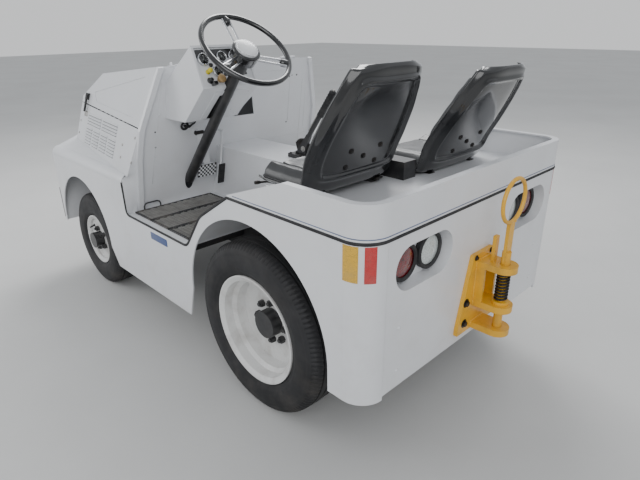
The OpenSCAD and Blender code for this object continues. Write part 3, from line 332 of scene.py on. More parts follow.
def black_paint():
    s = Shader("black_paint", (0.022, 0.022, 0.024), 0.36, coat=0.2, edge=0.0015)
    s.vary(0.2, 12).grime((0.10, 0.095, 0.085), 0.35, 18)
    return s.wear((0.20, 0.19, 0.18), 0.7, 80).bump(300, 0.1, 0.0004).done()


def frame_black():
    s = Shader("frame_black", (0.035, 0.035, 0.037), 0.62, edge=0.002)
    s.vary(0.2, 7).grime((0.16, 0.135, 0.11), 0.6, 9, 0.1, 0.6)
    return s.wear((0.15, 0.09, 0.06), 0.8, 50).bump(130, 0.3, 0.0008).done()


def engine_grey():
    s = Shader("engine_grey", (0.11, 0.12, 0.13), 0.68, metal=0.3, edge=0.003)
    return s.vary(0.15, 10).grime((0.06, 0.05, 0.04), 0.7, 12).bump(220, 0.6, 0.0012).done()


def bare_steel():
    s = Shader("bare_steel", (0.50, 0.49, 0.47), 0.38, metal=1.0, edge=0.001)
    s.vary(0.12, 22).grime((0.26, 0.23, 0.21), 0.3, 30)
    return s.bump(90, 0.18, 0.0004, stretch=(1, 8, 1)).done()


def dark_steel():
    s = Shader("dark_steel", (0.050, 0.048, 0.047), 0.36, metal=0.85, edge=0.0008)
    return s.vary(0.2, 40).grime((0.10, 0.075, 0.055), 0.3, 50).bump(320, 0.3, 0.0004).done()


def chrome():
    s = Shader("chrome", (0.74, 0.75, 0.77), 0.12, metal=1.0, edge=0.0008)
    return s.vary(0.05, 60).grime((0.25, 0.24, 0.22), 0.25, 70).bump(500, 0.03, 0.0003).done()


def clear_lens():
    s = Shader("clear_lens", (0.62, 0.66, 0.64), 0.14, coat=1.0, coat_rough=0.03, edge=0.001)
    s.vary(0.05, 30).blend((0.40, 0.43, 0.42), s.ramp(s.cells(110, "DISTANCE_TO_EDGE"), 0.10, 0.02))
    return s.bump(1, 0.5, 0.0012, source=s.cells(110)).done()


def red_lens():
    s = Shader("red_lens", (0.20, 0.006, 0.010), 0.16, coat=1.0, coat_rough=0.03, edge=0.001)
    s.vary(0.2, 30).blend((0.06, 0.002, 0.004), s.ramp(s.cells(110, "DISTANCE_TO_EDGE"), 0.10, 0.02))
    return s.bump(1, 0.5, 0.0012, source=s.cells(110)).done()


def black_rubber():
    s = Shader("black_rubber", (0.018, 0.018, 0.020), 0.6, edge=0.0012)
    return s.vary(0.2, 14).grime((0.11, 0.105, 0.10), 0.35, 24).bump(380, 0.25, 0.0004).done()


def mat_rubber():
    s = Shader("mat_rubber", (0.030, 0.031, 0.034), 0.6, edge=0.001)
    return s.vary(0.2, 9).grime((0.20, 0.175, 0.145), 0.75, 11).bump(260, 0.35, 0.0006).done()


def tyre_rubber():
    s = Shader("tyre", (0.017, 0.017, 0.019), 0.62, edge=0.0015)
    s.vary(0.25, 6).grime((0.085, 0.075, 0.066), 0.5, 8, 0.0, 0.7)
    return s.bump(300, 0.25, 0.0005).done()


def black_plastic():
    s = Shader("black_plastic", (0.008, 0.0085, 0.010), 0.14, coat=0.8, coat_rough=0.05, edge=0.001)
    s.vary(0.2, 7).grime((0.07, 0.067, 0.062), 0.12, 5)
    return s.scratch((0.06, 0.06, 0.06), 0.15, (1, 1, 6), 60).bump(6, 0.04, 0.003).done()


def black_vinyl():
    s = Shader("black_vinyl", (0.013, 0.014, 0.016), 0.34, coat=0.35, coat_rough=0.16)
    s.vary(0.2, 9).grime((0.08, 0.077, 0.073), 0.15, 12)
    s.bump(1, 0.35, 0.0007, source=s.cells(520))
    return s.bump(22, 0.18, 0.002).done()


MATERIALS = {f.__name__: f() for f in (
    white_paint, rim_white, yellow_paint, black_paint, frame_black, engine_grey, bare_steel, dark_steel, chrome,
    clear_lens, red_lens, black_rubber, mat_rubber, black_plastic, black_vinyl)}
MATERIALS["tyre"] = tyre_rubber()


def dress_cad():
    """Every carried-over CAD node gets the material of its slot, except the pedals, which get white paint."""
    for name, obj in NODES.items():
        obj.data.materials.clear()
        obj.data.materials.append(MATERIALS["white_paint" if name == "pedals" else SLOT_OF[name]])


# ---------------------------------------------------------------- mesh helpers


def piece(name, verts, faces, slot, body, smooth=True, mat=None):
    """A mesh in the row frame that rides on a body and takes a slot's material."""
    me = bpy.data.meshes.new(name)
    me.from_pydata([tuple(v) for v in verts], [], faces)
    me.validate()
    bm = bmesh.new()
    bm.from_mesh(me)
    bmesh.ops.recalc_face_normals(bm, faces=bm.faces)
    bm.to_mesh(me)
    bm.free()
    if smooth:
        me.shade_smooth()
    obj = bpy.data.objects.new(name, me)
    bpy.context.scene.collection.objects.link(obj)
    me.materials.append(mat or MATERIALS[slot])
    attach(obj, body)
    return obj


class Build:
    """Collects several closed forms into one mesh."""

    def __init__(self):
        self.v, self.f = [], []

    def add(self, verts, faces):
        n = len(self.v)
        self.v += [Vector(v) for v in verts]
        self.f += [tuple(i + n for i in f) for f in faces]
        return self

    def lathe(self, origin, axis, profile, seg=32):
        """Turns (radius, height) pairs about an axis; a radius of 0 closes an end."""
        z = Vector(axis).normalized()
        x = z.orthogonal().normalized()
        y = z.cross(x)
        rings, verts, faces = [], [], []
        for r, h in profile:
            if r < 1e-7:
                rings.append([len(verts)])
                verts.append(Vector(origin) + z * h)
            else:
                rings.append(list(range(len(verts), len(verts) + seg)))
                for k in range(seg):
                    a = 2 * math.pi * k / seg
                    verts.append(Vector(origin) + z * h + (x * math.cos(a) + y * math.sin(a)) * r)
        for a, b in zip(rings, rings[1:]):
            for k in range(seg):
                m = (k + 1) % seg
                if len(a) == 1 and len(b) > 1:
                    faces.append((a[0], b[m], b[k]))
                elif len(b) == 1 and len(a) > 1:
                    faces.append((a[k], a[m], b[0]))
                elif len(a) > 1:
                    faces.append((a[k], a[m], b[m], b[k]))
        return self.add(verts, faces)

    def sweep(self, path, section, outs, closed=False):
        """Carries a section of (side, out) points along a path; outs is the outward direction at each point."""
        n, m, verts, faces = len(path), len(section), [], []
        for i, p in enumerate(path):
            a = path[(i - 1) % n] if closed or i else p
            b = path[(i + 1) % n] if closed or i < n - 1 else p
            t = (Vector(b) - Vector(a)).normalized()
            out = Vector(outs[i])
            side = t.cross(out).normalized()
            out = side.cross(t).normalized()
            stretch = 1.0
            if (closed or 0 < i < n - 1):
                t0 = (Vector(p) - Vector(a)).normalized()
                stretch = 1 / max(0.5, abs(t0.dot(t)))
            verts += [Vector(p) + side * (s * stretch) + out * o for s, o in section]
        for i in range(n if closed else n - 1):
            j = (i + 1) % n
            for k in range(m):
                q = (k + 1) % m
                faces.append((i * m + k, j * m + k, j * m + q, i * m + q))
        if not closed:
            faces += [tuple(range(m - 1, -1, -1)), tuple((n - 1) * m + k for k in range(m))]
        return self.add(verts, faces)

    def tube(self, path, r, seg=10, closed=False):
        section = [(r * math.cos(2 * math.pi * k / seg), r * math.sin(2 * math.pi * k / seg)) for k in range(seg)]
        t = (Vector(path[1]) - Vector(path[0])).normalized()
        out, outs = t.orthogonal().normalized(), []
        for i, p in enumerate(path):
            q = path[min(i + 1, len(path) - 1)]
            w = Vector(q) - Vector(p)
            if w.length > 1e-9:
                t = w.normalized()
            out = (out - t * out.dot(t)).normalized()
            outs.append(out)
        return self.sweep(path, section, outs, closed)

    def box(self, centre, size, turn=None, soft=0.0):
        """A block with chamfered edges, turned by a 3x3 matrix."""
        turn = turn or Matrix.Identity(3)
        bm = bmesh.new()
        bmesh.ops.create_cube(bm, size=1)
        bmesh.ops.scale(bm, vec=size, verts=bm.verts)
        if soft:
            bmesh.ops.bevel(bm, geom=bm.edges[:], offset=soft, segments=2, profile=0.6, affect="EDGES")
        verts = [turn @ v.co + Vector(centre) for v in bm.verts]
        faces = [tuple(v.index for v in f.verts) for f in bm.faces]
        bm.verts.ensure_lookup_table()
        bm.free()
        return self.add(verts, faces)

    def bolt(self, place, normal, r=0.008, h=0.006, dome=False):
        """A hexagon bolt head on its washer, or a domed screw head."""
        p, n = Vector(place), Vector(normal).normalized()
        if dome:
            return self.lathe(p - n * 0.001, n, [(0, 0), (r, 0), (r, 0.001 + 0.3 * h), (r * 0.8, 0.001 + 0.75 * h),
                                                 (r * 0.4, 0.001 + h), (0, 0.001 + h)], 14)
        self.lathe(p - n * 0.001, n, [(0, 0), (r * 1.45, 0), (r * 1.45, 0.002), (r * 1.3, 0.0026), (0, 0.0026)], 20)
        return self.lathe(p, n, [(0, 0), (r, 0), (r, h * 0.8), (r * 0.86, h), (0, h)], 6)

    def piece(self, name, slot, body, smooth=True, mat=None):
        return piece(name, self.v, self.f, slot, body, smooth, mat)


def sharp(obj, angle=35):
    """Keeps edges crisp on a smooth piece."""
    bm = bmesh.new()
    bm.from_mesh(obj.data)
    limit = math.radians(angle)
    for e in bm.edges:
        if len(e.link_faces) == 2 and e.calc_face_angle(0) > limit:
            e.smooth = False
    bm.to_mesh(obj.data)
    bm.free()
    return obj


def arc(c, r, a0, a1, n):
    return [(c[0] + r * math.cos(math.radians(a0 + (a1 - a0) * i / n)),
             c[1] + r * math.sin(math.radians(a0 + (a1 - a0) * i / n))) for i in range(n + 1)]


# ---------------------------------------------------------------- seats


def spline(points, n):
    """Evenly spaced points on a smooth curve through the given ones, and their distance along it."""
    p = np.array(points, float)
    e = np.vstack([2 * p[0] - p[1], p, 2 * p[-1] - p[-2]])
    out = []
    for i in range(1, len(e) - 2):
        a, b, c, d = e[i - 1:i + 3]
        for k in np.linspace(0, 1, 24, endpoint=False):
            out.append(0.5 * (2 * b + (c - a) * k + (2 * a - 5 * b + 4 * c - d) * k * k
                              + (3 * b - a - 3 * c + d) * k ** 3))
    out = np.array(out + [p[-1]])
    s = np.r_[0, np.cumsum(np.linalg.norm(np.diff(out[:, :2], axis=0), axis=1))]
    u = np.linspace(0, s[-1], n)
    return np.stack([np.interp(u, s, out[:, k]) for k in range(out.shape[1])], 1), u


def step(x, a, b):
    k = np.clip((x - a) / (b - a), 0, 1)
    return k * k * (3 - 2 * k)


def closed_grid(top, bottom):
    """Faces and vertices of a closed form between two grids of the same size."""
    n, m = top.shape[:2]
    verts = list(top.reshape(-1, 3)) + list(bottom.reshape(-1, 3))
    k, faces = n * m, []
    for i in range(n - 1):
        for j in range(m - 1):
            q = i * m + j
            faces += [(q, q + m, q + m + 1, q + 1), (k + q, k + q + 1, k + q + m + 1, k + q + m)]
    ring = [j for j in range(m)] + [i * m + m - 1 for i in range(1, n)] \
        + [(n - 1) * m + j for j in range(m - 2, -1, -1)] + [i * m for i in range(n - 2, 0, -1)]
    for a, b in zip(ring, ring[1:] + ring[:1]):
        faces.append((a, b, k + b, k + a))
    return verts, faces


class Seat:
    """One moulded bucket seat: a shell with a raised rim, two sewn pads and their welts."""

    def __init__(self, tag, y, back, down, lean):
        self.tag, self.place = tag, at(0.376 - back, y, 0.912 - down)
        s, c = math.sin(math.radians(lean)), math.cos(math.radians(lean))
        rows = [(0.280, 0.024, 0.172), (0.286, 0.006, 0.200), (0.266, -0.008, 0.218), (0.160, -0.010, 0.226),
                (0.060, -0.010, 0.229), (0.004, -0.004, 0.233)]
        for h, w, out in ((0.050, 0.235, -0.004), (0.120, 0.237, 0), (0.190, 0.234, 0), (0.290, 0.216, 0),
                          (0.356, 0.196, 0.001), (0.408, 0.178, 0.004), (0.440, 0.160, 0.009), (0.457, 0.128, 0.018)):
            rows.append((-s * h + c * out, c * h + s * out, w))
        self.line, self.s = spline(rows, 240)
        d = np.gradient(self.line[:, :2], axis=0)
        d /= np.linalg.norm(d, axis=1)[:, None]
        self.normal = np.stack([d[:, 1], -d[:, 0]], 1) * (1 if (d[60, 1] * 0 - d[60, 0]) > 0 else -1)
        self.hip = float(np.interp(0.0, [0, 1], [np.argmin(self.line[:150, 0] ** 2 + self.line[:150, 1] ** 2), 0]))
        self.hip_s = self.s[int(self.hip)]

    def point(self, s, u, off):
        """The place at a distance along the profile, across it and out from the shell's outer face."""
        x, z, nx, nz = (np.interp(s, self.s, v) for v in (self.line[:, 0], self.line[:, 1],
                                                         self.normal[:, 0], self.normal[:, 1]))
        o = self.place
        return np.stack([o.x + x + nx * off, o.y + u + 0 * s, o.z + z + nz * off], -1)

    def half(self, s):
        return np.interp(s, self.s, self.line[:, 2])

    def face(self, s, t):
        """How far the shell's outer face stands forward of the profile: bucket sides, rim, ridge and sunk back."""
        w, end = self.half(s), self.s[-1]
        in_back = step(s, self.hip_s - 0.04, self.hip_s + 0.12)
        off = (0.016 + 0.020 * in_back) * np.abs(t) ** 4 + 0.010 * step(np.abs(t), 0.90, 1.0)
        edge = w * (1 - np.abs(t)) - 0.040
        top, low = end - 0.052 - s, s - self.hip_s - 0.055
        d = -0.012 * np.log(np.exp(-edge / 0.012) + np.exp(-top / 0.012) + np.exp(-low / 0.012))
        return off - 0.008 * np.exp(-(d / 0.0075) ** 2) + 0.006 * step(d, 0.004, 0.016)

    def shell(self):
        n, m = 130, 72
        s = np.linspace(0, self.s[-1], n)[:, None] + np.zeros((1, m))
        q = np.linspace(-1, 1, m)[None, :] + np.zeros((n, 1))
        t = np.sign(q) * (1 - (1 - np.abs(q)) ** 1.35)
        off = self.face(s, t)
        u = self.half(s) * t
        verts, faces = closed_grid(self.point(s, u, off + 0.0065), self.point(s, u, off))
        return piece("seat_shell_" + self.tag, verts, faces, "black_plastic", "chassis")

    def pad(self, name, s0, s1, thick, corner, cross):
        n, m = 110, 90
        s = np.linspace(s0, s1, n)[:, None] + np.zeros((1, m))
        t = np.linspace(-1, 1, m)[None, :] + np.zeros((n, 1))
        room = np.minimum(np.minimum(s - s0, s1 - s), corner)
        w = self.half(s) * 0.90 - (corner - np.sqrt(np.maximum(corner ** 2 - (corner - room) ** 2, 0)))
        u = w * t
        e = np.minimum(np.minimum(w - np.abs(u), s - s0), s1 - s)
        k = np.clip(e / 0.034, 0, 1)
        body = thick * (0.20 + 0.80 * np.sqrt(1 - (1 - k) ** 2)) * (1 + 0.10 * (1 - t * t))
        body += 0.011 * np.exp(-((np.abs(t) - 0.80) / 0.13) ** 2) * k
        seam = np.exp(-((np.abs(u) - 0.56 * w) / 0.0042) ** 2)
        mid = 1 - step(np.abs(t), 0.52, 0.60)
        for c in cross:
            seam = np.maximum(seam, mid * np.exp(-((s - (s0 + c * (s1 - s0))) / 0.0042) ** 2))
        body -= (0.0075 * seam + 0.0020 * np.exp(-((np.abs(u) - 0.56 * w) / 0.016) ** 2)) * k
        body += 0.0011 * k * np.sin(61 * s + 23 * u) * np.sin(47 * u - 17 * s + 1.3)
        under = self.face(s, np.clip(u / self.half(s), -1, 1)) + 0.0072
        verts, faces = closed_grid(self.point(s, u, under + body), self.point(s, u, under))
        pad = piece(name + self.tag, verts, faces, "black_vinyl", "chassis")
        grid = self.point(s, u, under + body * 0.86)
        ring = [grid[0, j] for j in range(0, m, 2)] + [grid[i, m - 1] for i in range(1, n, 2)] \
            + [grid[n - 1, j] for j in range(m - 2, 0, -2)] + [grid[i, 0] for i in range(n - 2, 0, -2)]
        mid_pt = sum((Vector(r) for r in ring), Vector()) / len(ring)
        path = [Vector(r) + (Vector(r) - mid_pt).normalized() * 0.001 for r in ring]
        welt = Build().tube(path, 0.0036, 8, True).piece("welt_" + name + self.tag, "black_vinyl", "chassis")
        welt.parent = pad
        return pad

    def build(self):
        shell = self.shell()
        end = self.s[-1]
        base = self.pad("seat_pad_", 0.012, self.hip_s + 0.012, 0.050, 0.05, ())
        back = self.pad("back_pad_", self.hip_s + 0.075, end - 0.014, 0.046, 0.075, (0.34, 0.66))
        bolts = Build()
        for s, u in ((self.hip_s + 0.085, 0.075), (self.hip_s + 0.085, -0.075), (self.hip_s + 0.150, 0.075),
                     (self.hip_s + 0.150, -0.075), (self.hip_s + 0.118, 0.0)):
            off = self.face(np.array(s), np.array(u / self.half(s)))
            a, b = self.point(np.array(s), np.array(u), off), self.point(np.array(s), np.array(u), off - 0.01)
            bolts.bolt(a, Vector(b) - Vector(a), 0.0075, 0.006)
        bolts.piece("seat_bolts_" + self.tag, "dark_steel", "chassis", False)
        return shell, base, back


def make_seats():
    driver, guest = Seat("driver", 0.277, 0, 0, 26), Seat("guest", -0.277, 0.066, 0.022, 30)
    shell, base, back = driver.build()
    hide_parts("seat_shells")
    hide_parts("seat_cushions")
    guest.build()
    # Slide rails under both seats, with their levers and a small hinge at the driver's side
    for tag, y, back_by, down in (("driver", 0.277, 0, 0), ("guest", -0.277, 0.066, 0.022)):
        rails = Build()
        for side in (-1, 1):
            for k, (w, h, z) in enumerate(((0.036, 0.009, 0.0065), (0.024, 0.010, -0.0015))):
                rails.box(at(0.500 - back_by, y + side * 0.150, 0.900 - down + z - 0.006), (0.250 - 0.02 * k, w, h),
                          soft=0.0015)
        rails.tube([at(0.600 - back_by, y + 0.150, 0.893 - down), at(0.650 - back_by, y + 0.150, 0.890 - down),
                    at(0.664 - back_by, y + 0.160, 0.893 - down), at(0.667 - back_by, y + 0.200, 0.898 - down)], 0.004)
        rails.lathe(at(0.667 - back_by, y + 0.192, 0.897 - down), (0, 1, 0.12),
                    [(0, 0), (0.006, 0.001), (0.008, 0.012), (0.0065, 0.024), (0, 0.027)], 16)
        rails.piece("seat_rails_" + tag, "dark_steel", "chassis", False)
    hinge = Build().box(at(0.560, 0.512, 0.902), (0.034, 0.004, 0.026), soft=0.001)
    hinge.lathe(at(0.541, 0.515, 0.888), (1, 0, 0), [(0, 0), (0.0045, 0.0005), (0.0045, 0.038), (0, 0.0385)], 14)
    for x in (0.551, 0.569):
        hinge.bolt(at(x, 0.514, 0.907), (0, 1, 0), 0.0035, 0.002, True)
    hinge.piece("seat_hinge", "chrome", "chassis", False)


# ---------------------------------------------------------------- tyres


def tyre(name, node, r, half_w, bead_r, bead_half, grooves, sipes):
    """A road tyre: ribs with grooves, sipes over the shoulders and rings on the walls."""
    low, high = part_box(node)
    c = (low + high) / 2
    wall = r - bead_r
    rows = [(bead_r, bead_half), (bead_r + 0.10 * wall, bead_half + 0.002), (bead_r + 0.22 * wall, 0.90 * half_w),
            (bead_r + 0.38 * wall, 0.985 * half_w), (bead_r + 0.50 * wall, half_w),
            (bead_r + 0.66 * wall, 0.97 * half_w), (bead_r + 0.82 * wall, 0.90 * half_w),
            (bead_r + 0.93 * wall, 0.79 * half_w), (bead_r + 0.985 * wall, 0.64 * half_w)]
    side, s = spline(rows, 34)
    d = np.gradient(side, axis=0)
    d /= np.linalg.norm(d, axis=1)[:, None]
    out = np.stack([-d[:, 1], d[:, 0]], 1)
    out *= np.sign(out[16, 1])
    part = s / s[-1]
    for place, rise, width in ((0.16, 0.0024, 0.03), (0.30, 0.0010, 0.015), (0.70, 0.0016, 0.02)):
        side = side + out * (rise * np.exp(-((part - place) / width) ** 2))[:, None]
    sipe = [bool(p > 0.80) for p in part]
    profile = [(float(a), float(b), k) for (a, b), k in zip(side, sipe)]
    crown, edge = [], 0.64 * half_w
    marks = sorted(g * half_w for g in grooves)
    for y in reversed(marks):
        gw, depth = 0.0040, 0.0085
        for q, deep in ((y + gw, 0), (y + gw * 0.6, depth), (y - gw * 0.6, depth), (y - gw, 0)):
            crown.append((r - (q / edge) ** 2 * 0.015 * wall - deep, q, False))
    profile += [q for q in crown]
    profile += [(a, -b, k) for a, b, k in reversed(profile[:34])]
    seg = sipes * 3
    verts, faces = [], []
    mid = Vector((c.x, c.y, c.z))
    for k in range(seg):
        a = 2 * math.pi * k / seg
        for rad, y, cut in profile:
            q = rad - (0.0045 if cut and k % 3 == 0 else 0)
            y2 = y - (0.0018 * (1 if y > 0 else -1) if cut and k % 3 == 0 else 0)
            verts.append(mid + Vector((q * math.cos(a), y2, q * math.sin(a))))
    m = len(profile)
    for k in range(seg):
        j = (k + 1) % seg
        for i in range(m):
            q = (i + 1) % m
            faces.append((k * m + i, k * m + q, j * m + q, j * m + i))
    obj = piece("tread_" + name, verts, faces, "tyre", "wheel_" + name)
    sharp(obj, 38)
    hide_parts(node)
    return c


def valve(name, c, side, r, y_face, angle):
    """A rubber valve stem with its cap, standing out of the rim's disc."""
    a = math.radians(angle)
    foot = Vector((c.x + r * math.cos(a), side * y_face, c.z + r * math.sin(a)))
    tip = Vector((math.cos(a) * -0.25, side, math.sin(a) * -0.25))
    Build().lathe(foot, tip, [(0, -0.002), (0.0085, -0.002), (0.0085, 0.003), (0.0055, 0.006), (0.0048, 0.020),
                              (0.0042, 0.021), (0.0042, 0.031), (0.0036, 0.033), (0, 0.033)], 16) \
        .piece("valve_" + name, "black_rubber", "wheel_" + name)


def make_tyres():
    for side, tag in ((1, "left"), (-1, "right")):
        c = tyre("rear_" + tag, "rear_" + tag + "_tyre", 0.353, 0.0975, 0.2054, 0.074, (-0.48, -0.17, 0.17, 0.48), 116)
        valve("rear_" + tag, c, side, 0.150, abs(c.y) - 0.0155, 128)
        c = tyre("front_" + tag, "front_" + tag + "_tyre", 0.275, 0.080, 0.1294, 0.052, (-0.42, 0, 0.42), 92)
        valve("front_" + tag, c, side, 0.098, abs(c.y) + 0.0435, 40)


# ---------------------------------------------------------------- body trim


def corner_path(z, x_from, x_to, inset=0.0):
    """Left side at x_from, round both rear corners, right side at x_to, with the outward directions."""
    r, pts, outs = CORNER_R, [], []

    def put(x, y, out):
        pts.append(at(x, y, z) + Vector(out) * -inset)
        outs.append(Vector(out))

    for i in range(9):
        put(x_from + (r - x_from) * i / 8, BODY_HALF, (0, 1, 0))
    for i in range(1, 13):
        a = math.radians(90 * i / 12)
        put(r - r * math.sin(a), BODY_HALF - r + r * math.cos(a), (-math.sin(a), math.cos(a), 0))
    for i in range(1, 9):
        put(0, (BODY_HALF - r) * (1 - i / 4), (-1, 0, 0))
    for i in range(1, 13):
        a = math.radians(90 * i / 12)
        put(r - r * math.cos(a), -(BODY_HALF - r) - r * math.sin(a), (-math.cos(a), -math.sin(a), 0))
    for i in range(1, 9):
        put(r + (x_to - r) * i / 8, -BODY_HALF, (0, -1, 0))
    return pts, outs


def side_path(side):
    """Down the step, along the sill and up the fender's rear edge, with rounded bends."""
    pts = [(0.640, SEAM_Z)] + [(q[0], q[1]) for q in STEP] + [(1.536, 0.752)]
    out = [pts[0]]
    for a, b, c in zip(pts, pts[1:], pts[2:]):
        va, vc = np.subtract(a, b), np.subtract(c, b)
        r = min(0.028, 0.45 * np.linalg.norm(va), 0.45 * np.linalg.norm(vc))
        pa, pc = b + va / np.linalg.norm(va) * r, b + vc / np.linalg.norm(vc) * r
        for k in np.linspace(0, 1, 6):
            out.append(tuple((1 - k) ** 2 * pa + 2 * k * (1 - k) * np.array(b) + k * k * pc))
    out.append(pts[-1])
    return [at(x, side * BODY_HALF, z) for x, z in out]


def make_trim():
    bead = [(-0.0054, -0.001), (-0.0054, 0.0008), (-0.0042, 0.0024), (-0.002, 0.0032), (0.002, 0.0032),
            (0.0042, 0.0024), (0.0054, 0.0008), (0.0054, -0.001)]
    strip = Build()
    pts, outs = corner_path(SEAM_Z, 0.640, 0.640)
    strip.sweep(pts, bead, outs)
    for side in (1, -1):
        path = side_path(side)
        strip.sweep(path, bead, [Vector((0, side, 0))] * len(path))
    strip.piece("seam_strip", "black_rubber", "chassis")
    line = [(-0.0016, -0.0005), (-0.0016, 0.0006), (0, 0.0009), (0.0016, 0.0006), (0.0016, -0.0005)]
    pts, outs = corner_path(SEAM_Z + 0.0135, 0.620, 0.620)
    blue = Shader("pinstripe", (0.13, 0.17, 0.30), 0.3, coat=0.4).vary(0.15, 30).bump(300, 0.05, 0.0003).done()
    Build().sweep(pts, line, outs).piece("pinstripe", None, "chassis", mat=blue)


def reflector(name, side, a0, a1, z0, z1, colour):
    """A thin reflective patch on a rear corner's round; a0 and a1 are arc lengths back from the side's end."""
    s = Shader("reflective_" + name, colour, 0.30, coat=0.8, coat_rough=0.08)
    deep = tuple(c * 0.62 for c in colour)
    s.blend(deep, s.ramp(s.cells(300, "DISTANCE_TO_EDGE"), 0.16, 0.06)).grime((0.25, 0.2, 0.17), 0.35, 14)
    n, top, bottom = 18, [], []
    for i in range(n + 1):
        arc_at = a0 + (a1 - a0) * i / n
        a = arc_at / CORNER_R
        if arc_at < 0:
            x, y, o = CORNER_R - arc_at, BODY_HALF, (0, 1)
        else:
            x, y = CORNER_R - CORNER_R * math.sin(a), BODY_HALF - CORNER_R + CORNER_R * math.cos(a)
            o = (-math.sin(a), math.cos(a))
        for grid, lift in ((top, 0.0008), (bottom, -0.0004)):
            grid.append([at(x + o[0] * lift, side * (y + o[1] * lift), z) for z in np.linspace(z0, z1, 6)])
    verts, faces = closed_grid(np.array(top), np.array(bottom))
    return sharp(piece(name, verts, faces, None, "chassis", mat=s.bump(1, 0.2, 0.0004, source=s.cells(300)).done()))


def rounded_plate(build, centre, u, v, n, w, h, r, thick):
    """A flat plate with round corners; u, v and n are its own axes."""
    pts = []
    for cx, cy, a in ((w / 2 - r, h / 2 - r, 0), (r - w / 2, h / 2 - r, 90), (r - w / 2, r - h / 2, 180),
                      (w / 2 - r, r - h / 2, 270)):
        pts += arc((cx, cy), r, a, a + 90, 5)
    c, u, v, n = Vector(centre), Vector(u), Vector(v), Vector(n)
    m, verts = len(pts), []
    for lift, k in ((-0.0006, 1.0), (thick * 0.7, 1.0), (thick, 1.0 - 1.2 * thick / min(w, h))):
        verts += [c + u * (x * k) + v * (y * k) + n * lift for x, y in pts]
    faces = [tuple(range(m - 1, -1, -1)), tuple(2 * m + i for i in range(m))]
    for ring in range(2):
        faces += [(ring * m + i, ring * m + (i + 1) % m, (ring + 1) * m + (i + 1) % m, (ring + 1) * m + i)
                  for i in range(m)]
    return build.add(verts, faces)


def make_marks():
    reflector("mark_yellow", 1, -0.004, 0.047, 0.754, 0.868, (0.80, 0.46, 0.02))
    reflector("mark_red", 1, 0.065, 0.101, 0.754, 0.868, (0.62, 0.02, 0.02))
    reflector("mark_yellow_right", -1, -0.004, 0.047, 0.754, 0.868, (0.80, 0.46, 0.02))
    reflector("mark_red_right", -1, 0.065, 0.118, 0.760, 0.868, (0.62, 0.02, 0.02))
    blue = Shader("blue_plate", (0.010, 0.055, 0.23), 0.3, coat=0.5, edge=0.001).vary(0.12, 18)
    blue.scratch((0.4, 0.45, 0.5), 0.3, (1, 1, 5), 60).specks((0.5, 0.52, 0.55), 0.5, 80, 0.06)
    plate = Build()
    rounded_plate(plate, at(1.224, BODY_HALF, 0.5515), (1, 0, 0), (0, 0, 1), (0, 1, 0), 0.148, 0.035, 0.004, 0.0012)
    for x in (1.158, 1.290):
        plate.bolt(at(x, BODY_HALF + 0.0008, 0.5515), (0, 1, 0), 0.0032, 0.0016, True)
    plate.piece("side_plate", None, "chassis", mat=blue.done())


def make_hood_trim():
    """Screws on the hood's sides, latch brackets and the small fitting on the cowl."""
    half = lambda x, z: 0.460 - 0.119 * (x - 1.366) - 0.343 * (z - 1.272)
    n = Vector((0.119, 1, 0.343)).normalized()
    screws, lid = Build(), Build()
    for side in (1, -1):
        out = Vector((n.x, side * n.y, n.z))
        for x, z in ((1.628, 0.907), (1.627, 0.850), (2.372, 0.927), (2.368, 0.860), (1.480, 0.960), (1.480, 0.850)):
            screws.bolt(at(x, side * half(x, z), z), out, 0.0065, 0.004, True)
        for x in (2.270, 2.310):
            z = 1.003 + 0.025 * (x - 1.437) - 0.060
            screws.bolt(at(x, side * half(x, z), z), out, 0.005, 0.003, True)
        x = 2.290
        z = 1.003 + 0.025 * (x - 1.437) - 0.050
        u = Vector((1, -0.119 * side, 0)).normalized()
        v = out.cross(u) * side
        rounded_plate(screws, at(x, side * half(x, z), z), u, v, out, 0.058, 0.030, 0.006, 0.003)
    screws.piece("hood_screws", "bare_steel", "chassis", False)
    for y in (-0.300, 0.300):
        for dx, dy in ((0.016, -0.036), (0.016, 0.036), (0.030, 0.0)):
            lid.bolt(at(1.377 + dx, y + dy, 1.275), (0, 0, 1), 0.0042, 0.0026, True)
    lid.piece("hinge_screws", "bare_steel", "hood", False)
    fit = Build()
    rounded_plate(fit, at(1.3585, 0.395, 1.272), (1, 0, 0), (0, 1, 0), (0, 0, 1), 0.011, 0.034, 0.004, 0.003)
    fit.lathe(at(1.3585, 0.395, 1.273), (0, 0, 1), [(0, 0), (0.0055, 0), (0.0062, 0.006), (0.0055, 0.013),
                                                  (0.003, 0.016), (0, 0.0165)], 20)
    fit.piece("cowl_fitting", "white_paint", "chassis")


def hood_side(x, z):
    """The hood's side plane: half width at a place."""
    return 0.460 - 0.119 * (x - 1.366) - 0.343 * (z - 1.272)


def make_wings():
    """Plates that close the corner between firewall, hood side, fender and body side."""
    for side, tag in ((1, "left"), (-1, "right")):
        top, bottom = [], []
        for z in np.linspace(FLOOR_Z + 0.001, 1.240, 70):
            x = 1.366 + (1.272 - z) * 0.264
            edge = float(np.interp(z, (0.592, 0.862, 0.998, 1.272), (0.562, 0.568, 0.554, 0.460)))
            k = float(step(np.array(z), 0.758, 0.802))
            outer_x = (1 - k) * 1.5285 + k * (x + 0.004)
            outer_y = (1 - k) * 0.627 + k * (hood_side(x + 0.004, z) - 0.0035)
            row = [(x + 0.001 + (outer_x - x - 0.001) * q, edge - 0.004 + (outer_y - edge + 0.004) * q)
                   for q in np.linspace(0, 1, 8)]
            top.append([at(px, side * py, z) for px, py in row])
            bottom.append([at(px + 0.0015, side * py, z) for px, py in row])
        verts, faces = closed_grid(np.array(top), np.array(bottom))
        sharp(piece("cowl_wing_" + tag, verts, faces, "white_paint", "chassis"))


